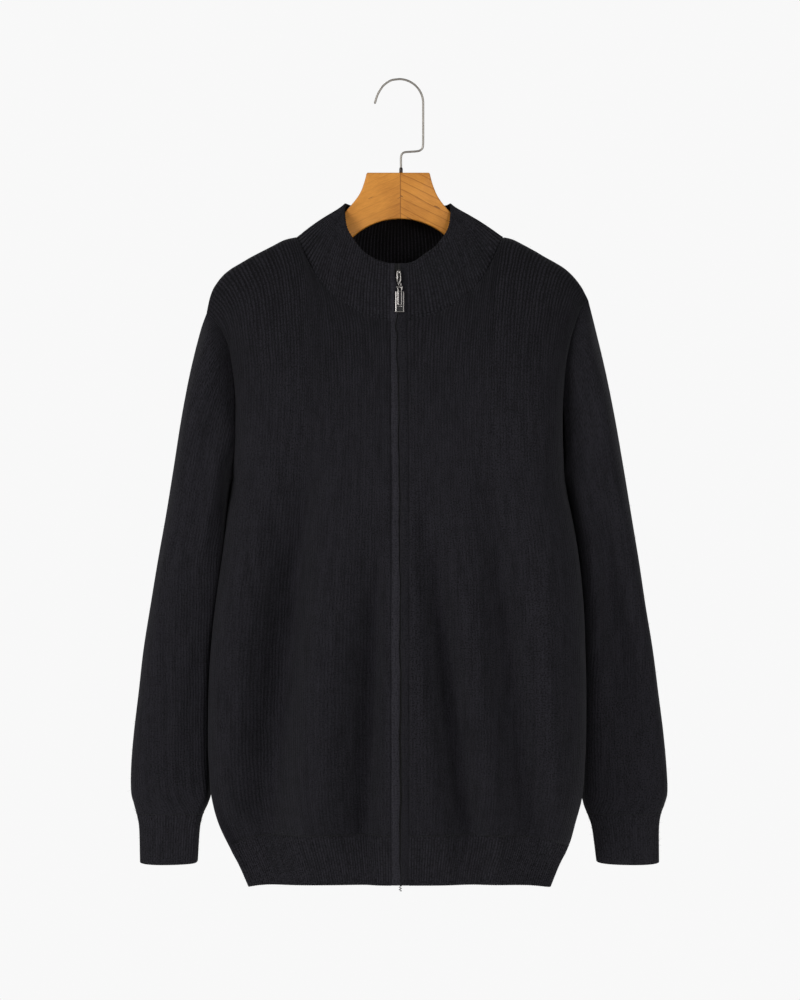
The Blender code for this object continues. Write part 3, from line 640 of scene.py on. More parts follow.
def body_surface(side, face, share, level):
    """Points of the middle of the cloth, for arrays of shares and levels."""
    start = PANEL_START if face == "front" else 0.0
    tip = float(ARMHOLE.at(1.0, side))
    high = level > 1
    rise = np.clip(level - 1, 0, 1)
    top_out = lerp(start, tip, share)
    on_neck = top_out < NECK_POINT
    top = np.where(on_neck, NECK.at(top_out, face + "_drop"), SHOULDER.at(top_out / tip, side))
    top_y = np.where(on_neck, NECK.at(top_out, face), 0.0)
    to_hem, to_pit = hem_drop(face, share, -level), lerp(hem_drop(face, share), ARM_PIT, level)
    low_drop = np.where(level < 0, to_hem, to_pit)
    drop = np.where(high, lerp(ARM_PIT, top, rise), low_drop)
    reach = np.where(high, ARMHOLE.at(rise, side), BODY.at(drop, side))
    out = lerp(start, reach, share)
    above = smoothstep(0, 0.5, rise)
    square = BODY.at(drop, "square") if face == "front" else lerp(BACK_SQUARE, 3.2, above)
    bulge = np.sqrt(np.maximum(0.0, 1 - (out / reach) ** square))
    roll = (1 - rise ** 2.2) ** (1 / lerp(1.15, 2.0, smoothstep(20, 125, top_out)))
    upper = lerp(ARMHOLE.at(rise, face), top_y, (1 - share ** 8) * above)
    base = np.where(high, upper, BODY.at(drop, "seam"))
    depth = base + (BODY.at(drop, face) - base) * bulge * np.where(high, roll, 1.0)
    x = out * SIDES[side]
    outward = -1 if face == "front" else 1
    depth = depth + outward * folds(face, x, drop) * smoothstep(0, 0.5, bulge)
    if face == "front":
        x = to_placket(side, x, drop)
    return np.stack([x, depth, -drop], axis=-1)


sample = body_surface("right", "front", np.array([0.0, 0.5, 1.0]), np.array([1.0, 1.0, 1.0]))
print("chest line of the right front, mm:", sample.round().tolist())

# %% [markdown]
# ## Making a sheet
# A sheet of cloth starts as Blender's grid primitive, flat, with one corner for each
# point of the surface. Its corners are then moved onto the surface in one step, and its
# UV map gets real lengths. Solidify gives it the thickness of the knit. A tube is the
# same grid with its first and last column in one place, merged.

# %% Turn a surface into cloth
sheets = {}


def curve_at(wanted, keys, curve):
    """Points of a curve at wanted places, where keys hold the places of its points."""
    return np.stack([np.interp(wanted, keys, curve[:, axis]) for axis in range(3)], axis=-1)


def unit(vectors):
    return vectors / np.maximum(np.linalg.norm(vectors, axis=-1, keepdims=True), 1e-9)


def surface_normals(points, closed=False):
    """Outward directions of a surface of rows x columns of points."""
    if closed:
        wrapped = np.concatenate([points[:, -2:-1], points, points[:, 1:2]], axis=1)
        across = wrapped[:, 2:] - wrapped[:, :-2]
    else:
        across = np.gradient(points, axis=1)
    return unit(np.cross(across, np.gradient(points, axis=0)))


def run_along(curve):
    """Length from the start of a curve to each of its points."""
    steps = np.linalg.norm(np.diff(curve, axis=0), axis=-1)
    return np.concatenate([[0.0], np.cumsum(steps)])


def run_lengths(points, axis):
    """Lengths along rows (axis 1) or columns (axis 0), averaged over the others."""
    steps = np.linalg.norm(np.diff(points, axis=axis), axis=-1).mean(axis=1 - axis)
    return np.concatenate([[0.0], np.cumsum(steps)])


def only(item):
    """Select one piece and make it the active one."""
    bpy.ops.object.select_all(action="DESELECT")
    item.select_set(True)
    bpy.context.view_layer.objects.active = item


def finish_piece(item, material, nodes=(), body="garment"):
    """Give a piece its material, the body it rides on and what it replaces."""
    item.data.materials.clear()
    item.data.materials.append(material)
    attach(item, body)
    if nodes:
        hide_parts(*nodes)
    return item


def sheet(name, points, thickness, material, node, closed=False, wales=None):
    """Cloth on rows x columns of points in millimetres, which face outwards.

    wales, if given, holds how far across the knitting each point lies, also in
    millimetres. Otherwise the distance is measured along the rows.
    """
    rows, columns = points.shape[:2]
    bpy.ops.mesh.primitive_grid_add(x_subdivisions=columns - 1, y_subdivisions=rows - 1, size=1)
    item = bpy.context.object
    item.name = name
    item.data.name = name
    item.data.vertices.foreach_set("co", (points * MM).ravel())
    u, v = np.meshgrid(run_lengths(points, 1) * MM, run_lengths(points, 0) * MM)
    if wales is not None:
        u = np.broadcast_to(wales, u.shape) * MM
    corner = np.empty(len(item.data.loops), int)
    item.data.loops.foreach_get("vertex_index", corner)
    places = np.stack([u.ravel()[corner], v.ravel()[corner]], axis=-1)
    item.data.uv_layers[0].data.foreach_set("uv", places.ravel())
    if closed:
        bpy.ops.object.mode_set(mode="EDIT")
        bpy.ops.mesh.select_all(action="SELECT")
        bpy.ops.mesh.remove_doubles(threshold=0.00001)
        bpy.ops.object.mode_set(mode="OBJECT")
    wall = item.modifiers.new("wall", "SOLIDIFY")
    wall.thickness = thickness * MM
    wall.offset = 0
    only(item)
    bpy.ops.object.modifier_apply(modifier=wall.name)
    bpy.ops.object.shade_smooth()
    sheets[name] = points
    return finish_piece(item, material, [node])


print("sheets are made on grids")

# %% [markdown]
# ## The fronts and the back
# Three panels of fine knitting make the body. Their columns close up towards the sides,
# where the cloth turns sharply, and their rows close up towards the shoulders.

# %% Knit the body panels
WALL = 2.0
PANEL_COLUMNS = 64
LOW_ROWS = 84
HIGH_ROWS = 56
CHEST_LEVELS = 1 + (1 - np.cos(np.pi * np.arange(1, HIGH_ROWS + 1) / HIGH_ROWS)) / 2
PANEL_LEVELS = np.concatenate([np.linspace(0, 1, LOW_ROWS + 1), CHEST_LEVELS])


def panel(side, face):
    """Rows x columns of a half of the body, with its columns towards +X."""
    share, level = np.meshgrid(1 - (1 - np.linspace(0, 1, PANEL_COLUMNS)) ** 1.7, PANEL_LEVELS)
    points = body_surface(side, face, share, level)
    return points[:, ::-1] if side == "left" else points


def whole_back(right, left):
    """Join the halves of the back, whose columns then face the other way."""
    return np.concatenate([right[:, ::-1], left[:, ::-1][:, 1:]], axis=1)


for side in SIDES:
    sheet("front_panel_" + side, panel(side, "front"), WALL, body_wool, "front_" + side)
points = whole_back(panel("right", "back"), panel("left", "back"))
sheet("back_panel", points, WALL, body_wool, "back")
print("panels:", list(sheets))

# %% [markdown]
# ## The sleeves
# A sleeve is a tube that starts at the armhole's seam and narrows to the wrist. Its
# rings are flattened, because an empty sleeve hangs nearly flat beside the body. It has
# soft creases of its own where the cloth bends at the elbow and above the cuff.

# %% Knit the sleeves
SLEEVE_CREASES = {
    # turn round the sleeve and drop at each end, half width across, rise
    "left": (
        (0.33, 250, 0.40, 560, 0.10, 7.0),
        (0.70, 520, 0.58, 700, 0.05, -2.2),
        (0.40, 600, 0.48, 780, 0.06, 1.8),
    ),
    "right": (
        (0.42, 310, 0.60, 860, 0.20, -18.0),
        (0.78, 400, 0.84, 760, 0.10, 4.0),
        (0.80, 560, 0.66, 790, 0.05, -1.6),
    ),
    "behind": (
        (1.30, 420, 1.42, 620, 0.06, -2.4),
        (1.62, 480, 1.50, 660, 0.06, 2.0),
        (1.36, 620, 1.44, 790, 0.06, -2.2),
        (1.70, 640, 1.62, 780, 0.05, 1.6),
    ),
}
SLEEVE_TILT = {"left": -12.0, "right": 8.0}    # how far back the outer edge's front lies


def sleeve_ring(side, row, turn):
    """A ring at turns 0 (inner side) by 1 (outer side) round the back to 2."""
    rise = np.where(turn <= 1, turn, 2 - turn)
    rise = (1 - np.cos(np.pi * rise)) / 2
    front = turn <= 1
    if row == 0:
        ones = np.ones_like(rise)
        ahead = body_surface(side, "front", ones, 1 + rise)
        behind = body_surface(side, "back", ones, 1 + rise)
        return np.where(front[:, None], ahead, behind)

    def size(name):
        return float(SLEEVE.at(row, name))

    inner = np.array([size("in_" + side), size("in_y"), -size("in_drop")])
    outer = np.array([size("out_" + side), size("out_y"), -size("out_drop")])
    ring = inner + (outer - inner) * rise[:, None]
    skewed = np.where(front, rise ** lerp(1.0, 0.8, smoothstep(0, 3, row)), rise)
    inner_square = lerp(2.8, 10.0, smoothstep(2, 6, row)) if side == "left" else 2.8
    square = np.where(skewed > 0.5, 4.0, np.where(front, inner_square, 2.8))
    swell = np.sqrt(np.maximum(0.0, 1 - np.abs(2 * skewed - 1) ** square))
    middle = (inner[1] + outer[1]) / 2
    ring[:, 1] += (np.where(front, size("front"), size("back")) - middle) * swell ** 0.9
    tilt = SLEEVE_TILT[side] * smoothstep(0, 3.5, row) * (1 - smoothstep(10, 14, row))
    ring[:, 1] += tilt * (rise - 0.5) * swell
    ring[:, 0] -= np.where(front, size("bow") * swell, 0.0)
    ring[:, 0] *= SIDES[side]
    return ring


def sleeve_surface(side, rows, turn):
    """Rings at any rows, smooth from the armhole to the cuff's edge."""
    keys = np.arange(CUFF_HEM_ROW + 1.0)
    rings = np.array([sleeve_ring(side, int(key), turn) for key in keys])
    points = smooth_read(keys, rings, rows)
    return points if side == "left" else points[:, ::-1]


def crease_sleeve(points, turn, side):
    """Push a sleeve in and out along its creases, but not at the edge on the cuff."""
    normals = surface_normals(points, closed=True)
    drop = -points[..., 2]
    turn = np.broadcast_to(turn if side == "left" else turn[::-1], drop.shape)
    push = np.zeros_like(drop)
    for turn0, drop0, turn1, drop1, width, rise in SLEEVE_CREASES[side] + SLEEVE_CREASES["behind"]:
        along = (drop - drop0) / (drop1 - drop0)
        aside = turn - lerp(turn0, turn1, along)
        push += rise * np.sin(np.pi * np.clip(along, 0, 1)) ** 1.5 * np.exp(-(aside / width) ** 2)
    push *= 1 - smoothstep(-40, -1, drop - drop[-1])
    return points + normals * push[..., None]


SLEEVE_COLUMNS = 120


def sleeve_wales(points):
    """The wales run down the sleeve, and are counted both ways from its outer edge."""
    drop = -points[..., 2]
    levels = np.linspace(drop.min(), drop.max(), 500)
    columns = range(points.shape[1])
    cuts = np.array([
        [np.interp(levels, drop[:, j], points[:, j, axis]) for axis in (0, 1)] for j in columns
    ])
    steps = np.linalg.norm(np.diff(cuts, axis=0), axis=1)
    run = np.concatenate([np.zeros((1, len(levels))), np.cumsum(steps, axis=0)])
    run -= run[SLEEVE_COLUMNS // 2]
    return np.stack([np.interp(drop[:, j], levels, run[j]) for j in columns], axis=1)


for side in SIDES:
    turn = np.linspace(0, 2, SLEEVE_COLUMNS + 1)
    points = sleeve_surface(side, np.linspace(0, CUFF_SEAM_ROW, 150), turn)
    points = crease_sleeve(points, turn, side)
    wales = sleeve_wales(points)
    name, node = "sleeve_tube_" + side, "sleeve_" + side
    sheet(name, points, WALL, sleeve_wool, node, closed=True, wales=wales)
print("sleeves:", [name for name in sheets if name.startswith("sleeve")])

# %% [markdown]
# ## Ribs
# Hem, cuffs and collar are knitted in rib, raised columns with a groove between them.
# They are large enough to be modelled. The middle of the cloth waves in and out across
# the ribs, and the same wave shows on the inside. The wave fades at the seam, where the
# rib is joined to plain cloth.

# %% Shape the ribs
RIB_PITCH = 2.9            # also the wale of rib_wool
COLLAR_PITCH = 3.6
RIB_STEPS = 8
RIB_DEPTH = 0.85
RIB_WALL = 1.5


def even_columns(curve, ribs):
    """Places along a curve's own parameter that share its length evenly."""
    run = run_along(curve)
    wanted = np.linspace(0, run[-1], ribs * RIB_STEPS + 1)
    return np.interp(wanted, run, np.linspace(0, 1, len(curve)))


def ribbed(points, fade, closed=False):
    """Push the columns of a surface in and out; fade is the wave's size at each row."""
    normals = surface_normals(points, closed)
    phase = np.arange(points.shape[1]) / RIB_STEPS
    wave = np.abs(np.sin(np.pi * phase)) ** 0.7 * 2 - 1
    push = RIB_DEPTH * fade[:, None] * wave[None, :]
    return points + normals * push[..., None]


def rib_sheet(name, points, fade, node, material=rib_wool, closed=False):
    """A strip of rib, with painted shade in its grooves at the ribs' own pitch."""
    wales = np.arange(points.shape[1]) * RIB_PITCH / RIB_STEPS
    points = ribbed(points, fade, closed)
    return sheet(name, points, RIB_WALL, material, node, closed=closed, wales=wales)


HEM_ROWS = np.linspace(1, 0, 12)


def hem_points(side, face):
    dense = np.linspace(0, 1, 400)
    middle = body_surface(side, face, dense, np.full_like(dense, -0.5))
    ribs = round(run_along(middle)[-1] / RIB_PITCH)
    share, down = np.meshgrid(even_columns(middle, ribs), HEM_ROWS)
    points = body_surface(side, face, share, -down)
    return (points[:, ::-1] if side == "left" else points), ribs


def rib_fade(rows):
    """Full at the free edge, small at the seam, which is row 0 from the seam."""
    return lerp(0.25, 1.0, smoothstep(0, 0.22, rows))


total = 0
for side in SIDES:
    points, ribs = hem_points(side, "front")
    rib_sheet("hem_" + side, points, rib_fade(HEM_ROWS), "hem_front_" + side)
    total += ribs
right_hem, ribs = hem_points("right", "back")
left_hem, more = hem_points("left", "back")
rib_sheet("hem_behind", whole_back(right_hem, left_hem), rib_fade(HEM_ROWS), "hem_back")
print("ribs in the hem:", total + ribs + more)

# %% Rib the cuffs
CUFF_ROWS = np.linspace(CUFF_SEAM_ROW, CUFF_HEM_ROW, 14)
CUFF_WAVE = 0.3            # the matted cuffs' ribs are this much of the hem's
CUFF_SAG = 2.2
for side in SIDES:
    dense = np.linspace(0, 2, 600)
    ring = sleeve_ring(side, CUFF_SEAM_ROW + 1, dense)
    ribs = round(run_along(ring)[-1] / RIB_PITCH)
    turn = even_columns(ring, ribs) * 2
    points = sleeve_surface(side, CUFF_ROWS, turn)
    fade = rib_fade((CUFF_ROWS - CUFF_SEAM_ROW) / (CUFF_HEM_ROW - CUFF_SEAM_ROW))
    sag = CUFF_SAG * np.sin(np.pi * np.minimum(turn, 2 - turn)) * smoothstep(0.3, 1, fade)[:, None]
    points[..., 2] -= sag if side == "left" else sag[:, ::-1]
    rib_sheet("cuff_rib_" + side, points, fade * CUFF_WAVE, "cuff_" + side, worn_rib, closed=True)
    print("ribs in the", side, "cuff:", ribs)

# %% [markdown]
# ## The collar
# The collar is one strip of rib that stands up round the neck. It is sewn to the neck's
# seam, which is longer than its top edge, so its ribs lean together towards the top.

# %% Rib the collar


def collar_edges(side):
    """The seam and the top edge of half of the collar, from the front to the back."""
    tip = float(ARMHOLE.at(1.0, side))
    halves = []
    for face, start in (("front", PANEL_START), ("back", 0.0)):
        out = lerp(start, NECK_POINT, 1 - (1 - np.linspace(0, 1, 300)) ** 2)
        share = (out - start) / (tip - start)
        seam = body_surface(side, face, share, np.full_like(share, 2.0))
        near = np.clip(out / NECK_POINT, 0, 1)
        turn = 9 + 81 * (near - 0.084) / 0.916 if face == "front" else 180 - 90 * near
        turn = np.maximum(turn, 9)
        x, drop = COLLAR_TOP.at(turn, side) * SIDES[side], COLLAR_TOP.at(turn, "drop")
        if face == "front":
            x = to_placket(side, x, drop)
        top = np.stack([x, COLLAR_TOP.at(turn, "depth"), -drop], axis=-1)
        halves.append((seam, top))
    (seam, top), (back_seam, back_top) = halves
    return np.concatenate([seam, back_seam[::-1][1:]]), np.concatenate([top, back_top[::-1][1:]])


COLLAR_ROWS = np.linspace(0, 1, 22)
COLLAR_SWELL = 2.0
halves = {}
for side in SIDES:
    seam, top = collar_edges(side)
    middle = (seam + top) / 2
    ribs = round(run_along(middle)[-1] / COLLAR_PITCH)
    places, steps = even_columns(middle, ribs), np.linspace(0, 1, len(middle))
    halves[side] = (curve_at(places, steps, seam), curve_at(places, steps, top), ribs)
seam = np.concatenate([halves["right"][0], halves["left"][0][::-1][1:]])
top = np.concatenate([halves["right"][1], halves["left"][1][::-1][1:]])
ribs = halves["right"][2] + halves["left"][2]
points = seam + (top - seam) * COLLAR_ROWS[:, None, None]
outward = points * (1, 1, 0)
swell = COLLAR_SWELL * np.sin(np.pi * COLLAR_ROWS)[:, None, None] ** 2
points = points + unit(outward) * swell
rib_sheet("collar_rib", points, rib_fade(COLLAR_ROWS), "collar")
print("ribs in the collar:", ribs)

# %% [markdown]
# ## The zip's facings
# Narrow bands of smooth jersey cover the zip on both sides and nearly meet over its
# teeth. Pressed by hand, they wander a little. The left one is painted paler, as painted
# light falling on it from the left. A band is a sheet that swells between its two edges.

# %% Make the jersey bands
BAND_WALL = 1.1
BAND_BACK = 0.9            # how far a band's edges lie behind the front's cloth
BAND_SWELL = 1.4
BAND_OVERLAP = 1.3         # how far its outer edge runs under the front


def placket_line():
    """Drop and depth of the front edge from the collar's top down to the hem."""
    levels = np.concatenate([PANEL_LEVELS[::-1], np.linspace(-0.05, -1, 20)])
    body = body_surface("right", "front", np.zeros_like(levels), levels)
    seam, top = collar_edges("right")
    up = np.linspace(1, 0, 24)[:-1, None]
    collar = seam[0] + (top[0] - seam[0]) * up - (0, COLLAR_SWELL, 0) * np.sin(np.pi * up)
    line = np.concatenate([collar, body])
    return -line[:, 2], line[:, 1]


LINE_DROP, LINE_DEPTH = placket_line()


def front_depth(drop):
    return np.interp(drop, LINE_DROP, LINE_DEPTH)


def band(drop, near, far, back, swell, columns=11):
    """A strip between two distances from the middle, which swells in between."""
    t = np.linspace(0, 1, columns)
    x = near[:, None] + (far - near)[:, None] * t
    y = (front_depth(drop) + back)[:, None] - swell * (1 - np.abs(2 * t - 1) ** 2.4)
    z = np.repeat(-drop[:, None], columns, axis=1)
    points = np.stack([x, y, z], axis=-1)
    return points if near[0] < far[0] else points[:, ::-1]


band_drop = np.linspace(LINE_DROP[-1], LINE_DROP[0], 260)
ripple = 0.5 * np.sin(band_drop / 17.0) + 0.3 * np.sin(band_drop / 7.3 + 1.0)
ripple += 0.15 * np.sin(band_drop / 3.1)
for side, sign in SIDES.items():
    near = PLACKET.at(band_drop, "gap") + sign * PLACKET.at(band_drop, "spread") * 1.3
    near += 0.9 * ripple
    far = PLACKET.at(band_drop, side) + sign * BAND_OVERLAP + 0.5 * ripple[::-1]
    points = band(band_drop, near, far, BAND_BACK + 0.3 * ripple, BAND_SWELL)
    sheet("facing_band_" + side, points, BAND_WALL, band_jersey[side], "facing_" + side)
print("bands:", round(band_drop[0] - band_drop[-1]), "mm long")

# %% [markdown]
# ## The zip
# Behind the bands lie two woven tapes, and between them the teeth. One tooth is a small
# block with a rounded nose. It is modelled once, and a helper then joins copies of it,
# left and right in turn, into one piece.

# %% Lay the tapes and the teeth
TAPE_BACK = 3.2
TAPE_WALL = 0.7
TAPE_NEAR = 0.1            # a tape's edges, from the middle of the zip
TAPE_FAR = 7.2
CHAIN_TOP = 232.0
CHAIN_FOOT = 885.0
TOOTH_PITCH = 1.35
TOOTH_BACK = 2.3
TOOTH_LEAN = 0.55          # how far a tooth stands to its own side

for side, sign in SIDES.items():
    middle = PLACKET.at(band_drop, "gap")
    near, far = middle + sign * TAPE_NEAR, middle + sign * TAPE_FAR
    points = band(band_drop, near, far, TAPE_BACK, 0.0, columns=5)
    sheet("woven_tape_" + side, points, TAPE_WALL, tape_weave, "zip_tape_" + side)


def template(item):
    """Corners and faces of a modelled piece, which is then removed."""
    corners = np.empty(len(item.data.vertices) * 3)
    item.data.vertices.foreach_get("co", corners)
    faces = [tuple(face.vertices) for face in item.data.polygons]
    bpy.data.objects.remove(item)
    return corners.reshape(-1, 3), faces


def copies(name, shape, places, turns):
    """One mesh of a shape set at many places, each with its own 3 x 3 turn."""
    corners, faces = shape
    points = np.einsum("nij,vj->nvi", turns, corners) + places[:, None, :]
    count = len(corners)
    joined = [tuple(n * count + v for v in face) for n in range(len(places)) for face in faces]
    data = bpy.data.meshes.new(name)
    data.from_pydata(points.reshape(-1, 3), [], joined)
    item = bpy.data.objects.new(name, data)
    bpy.context.scene.collection.objects.link(item)
    return item


def smooth(item, sharp=None):
    """Shade a piece smooth, but for edges over a sharp angle in degrees, if given."""
    only(item)
    bpy.ops.object.shade_smooth()
    if sharp:
        bpy.ops.object.shade_smooth_by_angle(angle=math.radians(sharp))


def settle(item):
    """Put a piece's place, turn and size into its corners."""
    only(item)
    bpy.ops.object.transform_apply(location=True, rotation=True, scale=True)
    return item


def edit(item):
    """Enter edit mode with everything selected."""
    only(item)
    bpy.ops.object.mode_set(mode="EDIT")
    bpy.ops.mesh.select_all(action="SELECT")


def leave_edit():
    bpy.ops.object.mode_set(mode="OBJECT")


def block(size, place=(0, 0, 0)):
    """A box of a size in millimetres, centred at a place."""
    place, size = np.array(place) * MM, np.array(size) * MM
    bpy.ops.mesh.primitive_cube_add(size=1, location=place, scale=size)
    return settle(bpy.context.object)


def rounded(item, width, segments=2):
    edit(item)
    bpy.ops.mesh.bevel(offset=width * MM, segments=segments, affect="EDGES")
    leave_edit()
    return item


tooth = template(rounded(block((2.2, 1.5, 0.85)), 0.2, 1))
tooth_drop = np.arange(CHAIN_TOP, CHAIN_FOOT, TOOTH_PITCH)
lean = np.where(np.arange(len(tooth_drop)) % 2 == 0, -TOOTH_LEAN, TOOTH_LEAN)
middle, depth = PLACKET.at(tooth_drop, "gap"), front_depth(tooth_drop) + TOOTH_BACK
places = np.stack([middle + lean, depth, -tooth_drop], axis=-1)
teeth = copies("zip_teeth", tooth, places * MM, np.repeat(np.eye(3)[None], len(places), axis=0))
finish_piece(teeth, tooth_metal, ["zip_chain"])
print("teeth:", len(places))

# %% [markdown]
# ## The slider and its pull
# The slider is a small cast body with a bridge, a loop that stands out in front. The
# pull is a flat frame with a slot, a dark square at its foot, a forked neck and an eye
# that goes round the foot of the bridge, so it swings about that place.

# %% Cast the slider
FRONTWARD = (0, -1, 0)
LOOP_X = -1.35
BRIDGE_FOOT = -224.0
BRIDGE_Y = -57.6


def edit_faces(item, way):
    """Enter edit mode with only the faces selected that look along a direction."""
    edit(item)
    bpy.ops.mesh.select_all(action="DESELECT")
    mesh = bmesh.from_edit_mesh(item.data)
    for face in mesh.faces:
        face.select_set(face.normal.dot(Vector(way)) > 0.9)
    bmesh.update_edit_mesh(item.data)


def inset(border):
    bpy.ops.mesh.inset(thickness=border * MM, depth=0)


def extrude(x, y, z):
    bpy.ops.mesh.extrude_region_move(TRANSFORM_OT_translate={"value": (x * MM, y * MM, z * MM)})


def joined(items, name):
    only(items[0])
    for item in items:
        item.select_set(True)
    bpy.ops.object.join()
    items[0].name = name
    items[0].data.name = name
    return items[0]


def ring(place, radius, wire, stretch):
    """A wire ring that faces the front, stretched along Z."""
    bpy.ops.mesh.primitive_torus_add(
        major_radius=radius * MM, minor_radius=wire * MM, major_segments=40, minor_segments=12,
        location=np.array(place) * MM, rotation=(math.radians(90), 0, 0),
    )
    bpy.ops.object.transform_apply(location=False, rotation=True, scale=True)
    item = bpy.context.object
    item.scale = (1, 1, stretch)
    return settle(item)


plate = block((5.2, 1.7, 13.5), (LOOP_X, -54.2, -218.2))
edit_faces(plate, FRONTWARD)
inset(0.9)
extrude(0, -0.6, 0)
leave_edit()
plate = rounded(plate, 0.25)
plate.data.materials.append(tooth_metal)
loop = ring((LOOP_X, BRIDGE_Y + 1.2, -219.6), 2.15, 0.5, 3.05)
cheek = rounded(block((1.5, 1.6, 11.0), (LOOP_X - 1.6, -56.2, -219.4)), 0.6, 3)
cap = rounded(block((3.6, 2.6, 3.6), (LOOP_X, -56.0, -214.2)), 0.9, 3)
for bright in (loop, cheek, cap):
    bright.data.materials.append(aged_nickel)
slider = joined([plate, loop, cheek, cap], "slider_body")
smooth(slider, sharp=40)
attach(slider, "garment")
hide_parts("zip_slider")
print("slider corners:", len(slider.data.vertices))

# %% Cast the pull
PULL_X = -0.3
PULL_Y = -56.1
FRAME_TOP = -235.2
FRAME_FOOT = -257.6
FRAME_WIDTH = 9.2


def framed(size, place, border, depth, floor):
    """A box whose front is let in, which leaves a raised border with a floor behind."""
    item = rounded(block(size, place), 0.15)
    item.data.materials.append(aged_nickel)
    item.data.materials.append(floor)
    edit_faces(item, FRONTWARD)
    inset(border)
    item.active_material_index = 1
    bpy.ops.object.material_slot_assign()
    extrude(0, depth, 0)
    leave_edit()
    return item


height = FRAME_TOP - FRAME_FOOT
middle = (FRAME_TOP + FRAME_FOOT) / 2
outer = framed((FRAME_WIDTH, 1.2, height), (PULL_X, PULL_Y, middle), 0.8, 0.35, dull_nickel)
inner = framed((4.6, 1.2, 16.0), (PULL_X, PULL_Y, FRAME_TOP - 6.9), 0.75, 0.7, black_enamel)
bar = rounded(block((5.4, 0.9, 0.8), (PULL_X, PULL_Y, FRAME_FOOT + 6.2)), 0.2)
prongs = []
for sign in SIDES.values():
    prong = rounded(block((1.1, 1.2, 6.6)), 0.3)
    prong.rotation_euler = (0, sign * math.radians(15), 0)
    prong.location = Vector((PULL_X + sign * 2.1, PULL_Y, FRAME_TOP + 2.5)) * MM
    prongs.append(settle(prong))
eye = ring((PULL_X, PULL_Y, BRIDGE_FOOT - 3.6), 1.45, 0.55, 1.3)
pin = rounded(block((4.6, 1.3, 1.5), (PULL_X, PULL_Y, FRAME_TOP + 4.4)), 0.5, 3)
for bright in (bar, *prongs, eye, pin):
    bright.data.materials.append(aged_nickel)
pull = joined([outer, inner, bar, *prongs, eye, pin], "pull_tab")
smooth(pull, sharp=35)
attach(pull, "pull")
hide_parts("zip_pull")
enamel = block((FRAME_WIDTH - 2.4, 0.5, 4.8), (PULL_X, PULL_Y - 0.1, FRAME_FOOT + 3.1))
enamel = rounded(enamel, 0.1)
enamel.name = "pull_inlay"
finish_piece(enamel, black_enamel, body="pull")
print("pull corners:", len(pull.data.vertices))

# %% [markdown]
# ## The hanger
# Two shaped boards of honey coloured wood meet at the middle, each with its own run of
# grain, under a lacquer. A board starts as a filled circle whose corners are moved onto
# the outline, is extruded to its thickness, and gets its edges rounded, but for those of
# the glued joint.

# %% Saw the boards
BOARD_HALF = 5.5
BLOCK_TOP = -101.8
ARCH_TOP = -152.4
ARCH_RADIUS = 77.0
ARCH_HALF_SPAN = 55.0
ARM_END = 177.0
BOARD_SEAM = 0.5
BOARD_ROUNDING = 1.5
UNDER_CLOTH = 4.8          # how far the board's arm stays under the shoulder's cloth
ARM_TIP = ((0, 6.5), (1.5, 12), (-1.5, 18), (-8, 20))


def arch(out):
    return ARCH_TOP - (ARCH_RADIUS - np.sqrt(ARCH_RADIUS ** 2 - out ** 2))


BLOCK_FLANK = {
    "left": (
        (36.6, BLOCK_TOP), (38.6, -110), (42.3, -120.8), (46.6, -128.5),
        (53, -136.6), (61.4, -146.2), (69, -154.5),
    ),
    "right": (
        (32.6, BLOCK_TOP), (34.8, -111), (38.2, -120.8), (42, -128.7),
        (47.7, -136.7), (54.8, -144.6), (66, -154),
    ),
}


def board_outline(side):
    """Corners of half of the hanger, from the middle's top round to its foot."""
    flank = [*BLOCK_FLANK[side], (78, -163), (92, -174), (104, -182), (116, -187), (128, -188)]
    tip = float(ARMHOLE.at(1.0, side))
    for out in (140, 148, 156, 164, 170):
        flank.append((out, float(-SHOULDER.at(out / tip, side)) - WALL / 2 - UNDER_CLOTH))
    low = flank[-1][1]
    flank += [(ARM_END + out, low - fall) for out, fall in ARM_TIP]
    fine = smooth_curve(flank, 90)
    share = np.linspace(0, 1, 30)[1:-1]
    under_x = lerp(ARM_END - 8, ARCH_HALF_SPAN, share)
    under_z = lerp(low - 20, arch(ARCH_HALF_SPAN), share) + 3.0 * np.sin(math.pi * share)
    arch_x = np.linspace(ARCH_HALF_SPAN, 0, 25)[:-1]
    under, inside = np.stack([under_x, under_z], 1), np.stack([arch_x, arch(arch_x)], 1)
    outline = np.concatenate([fine, under, inside])
    outline[:, 0] *= SIDES[side]
    return np.concatenate([[(BOARD_SEAM, BLOCK_TOP)], outline, [(BOARD_SEAM, ARCH_TOP)]])


for side in SIDES:
    outline = board_outline(side)
    bpy.ops.mesh.primitive_circle_add(vertices=len(outline), radius=0.1, fill_type="NGON")
    board = bpy.context.object
    board.name = "board_" + side
    ahead = np.full(len(outline), -BOARD_HALF)
    corners = np.stack([outline[:, 0], ahead, outline[:, 1]], axis=-1) * MM
    board.data.vertices.foreach_set("co", corners.ravel())
    edit(board)
    extrude(0, 2 * BOARD_HALF, 0)
    bpy.ops.mesh.select_all(action="SELECT")
    bpy.ops.mesh.normals_make_consistent(inside=False)
    leave_edit()
    edit(board)
    bpy.ops.mesh.select_mode(type="EDGE")
    bpy.ops.mesh.select_all(action="DESELECT")
    mesh = bmesh.from_edit_mesh(board.data)
    for edge in mesh.edges:
        on_seam = all(abs(corner.co.x) < BOARD_ROUNDING * MM for corner in edge.verts)
        edge.select_set(edge.calc_face_angle(0) > math.radians(50) and not on_seam)
    bmesh.update_edit_mesh(board.data)
    bpy.ops.mesh.bevel(offset=BOARD_ROUNDING * MM, segments=4, affect="EDGES")
    bpy.ops.mesh.select_mode(type="VERT")
    leave_edit()
    smooth(board, sharp=40)
    finish_piece(board, wood[side], ["hanger_" + side])
    print(board.name, "corners:", len(board.data.vertices))

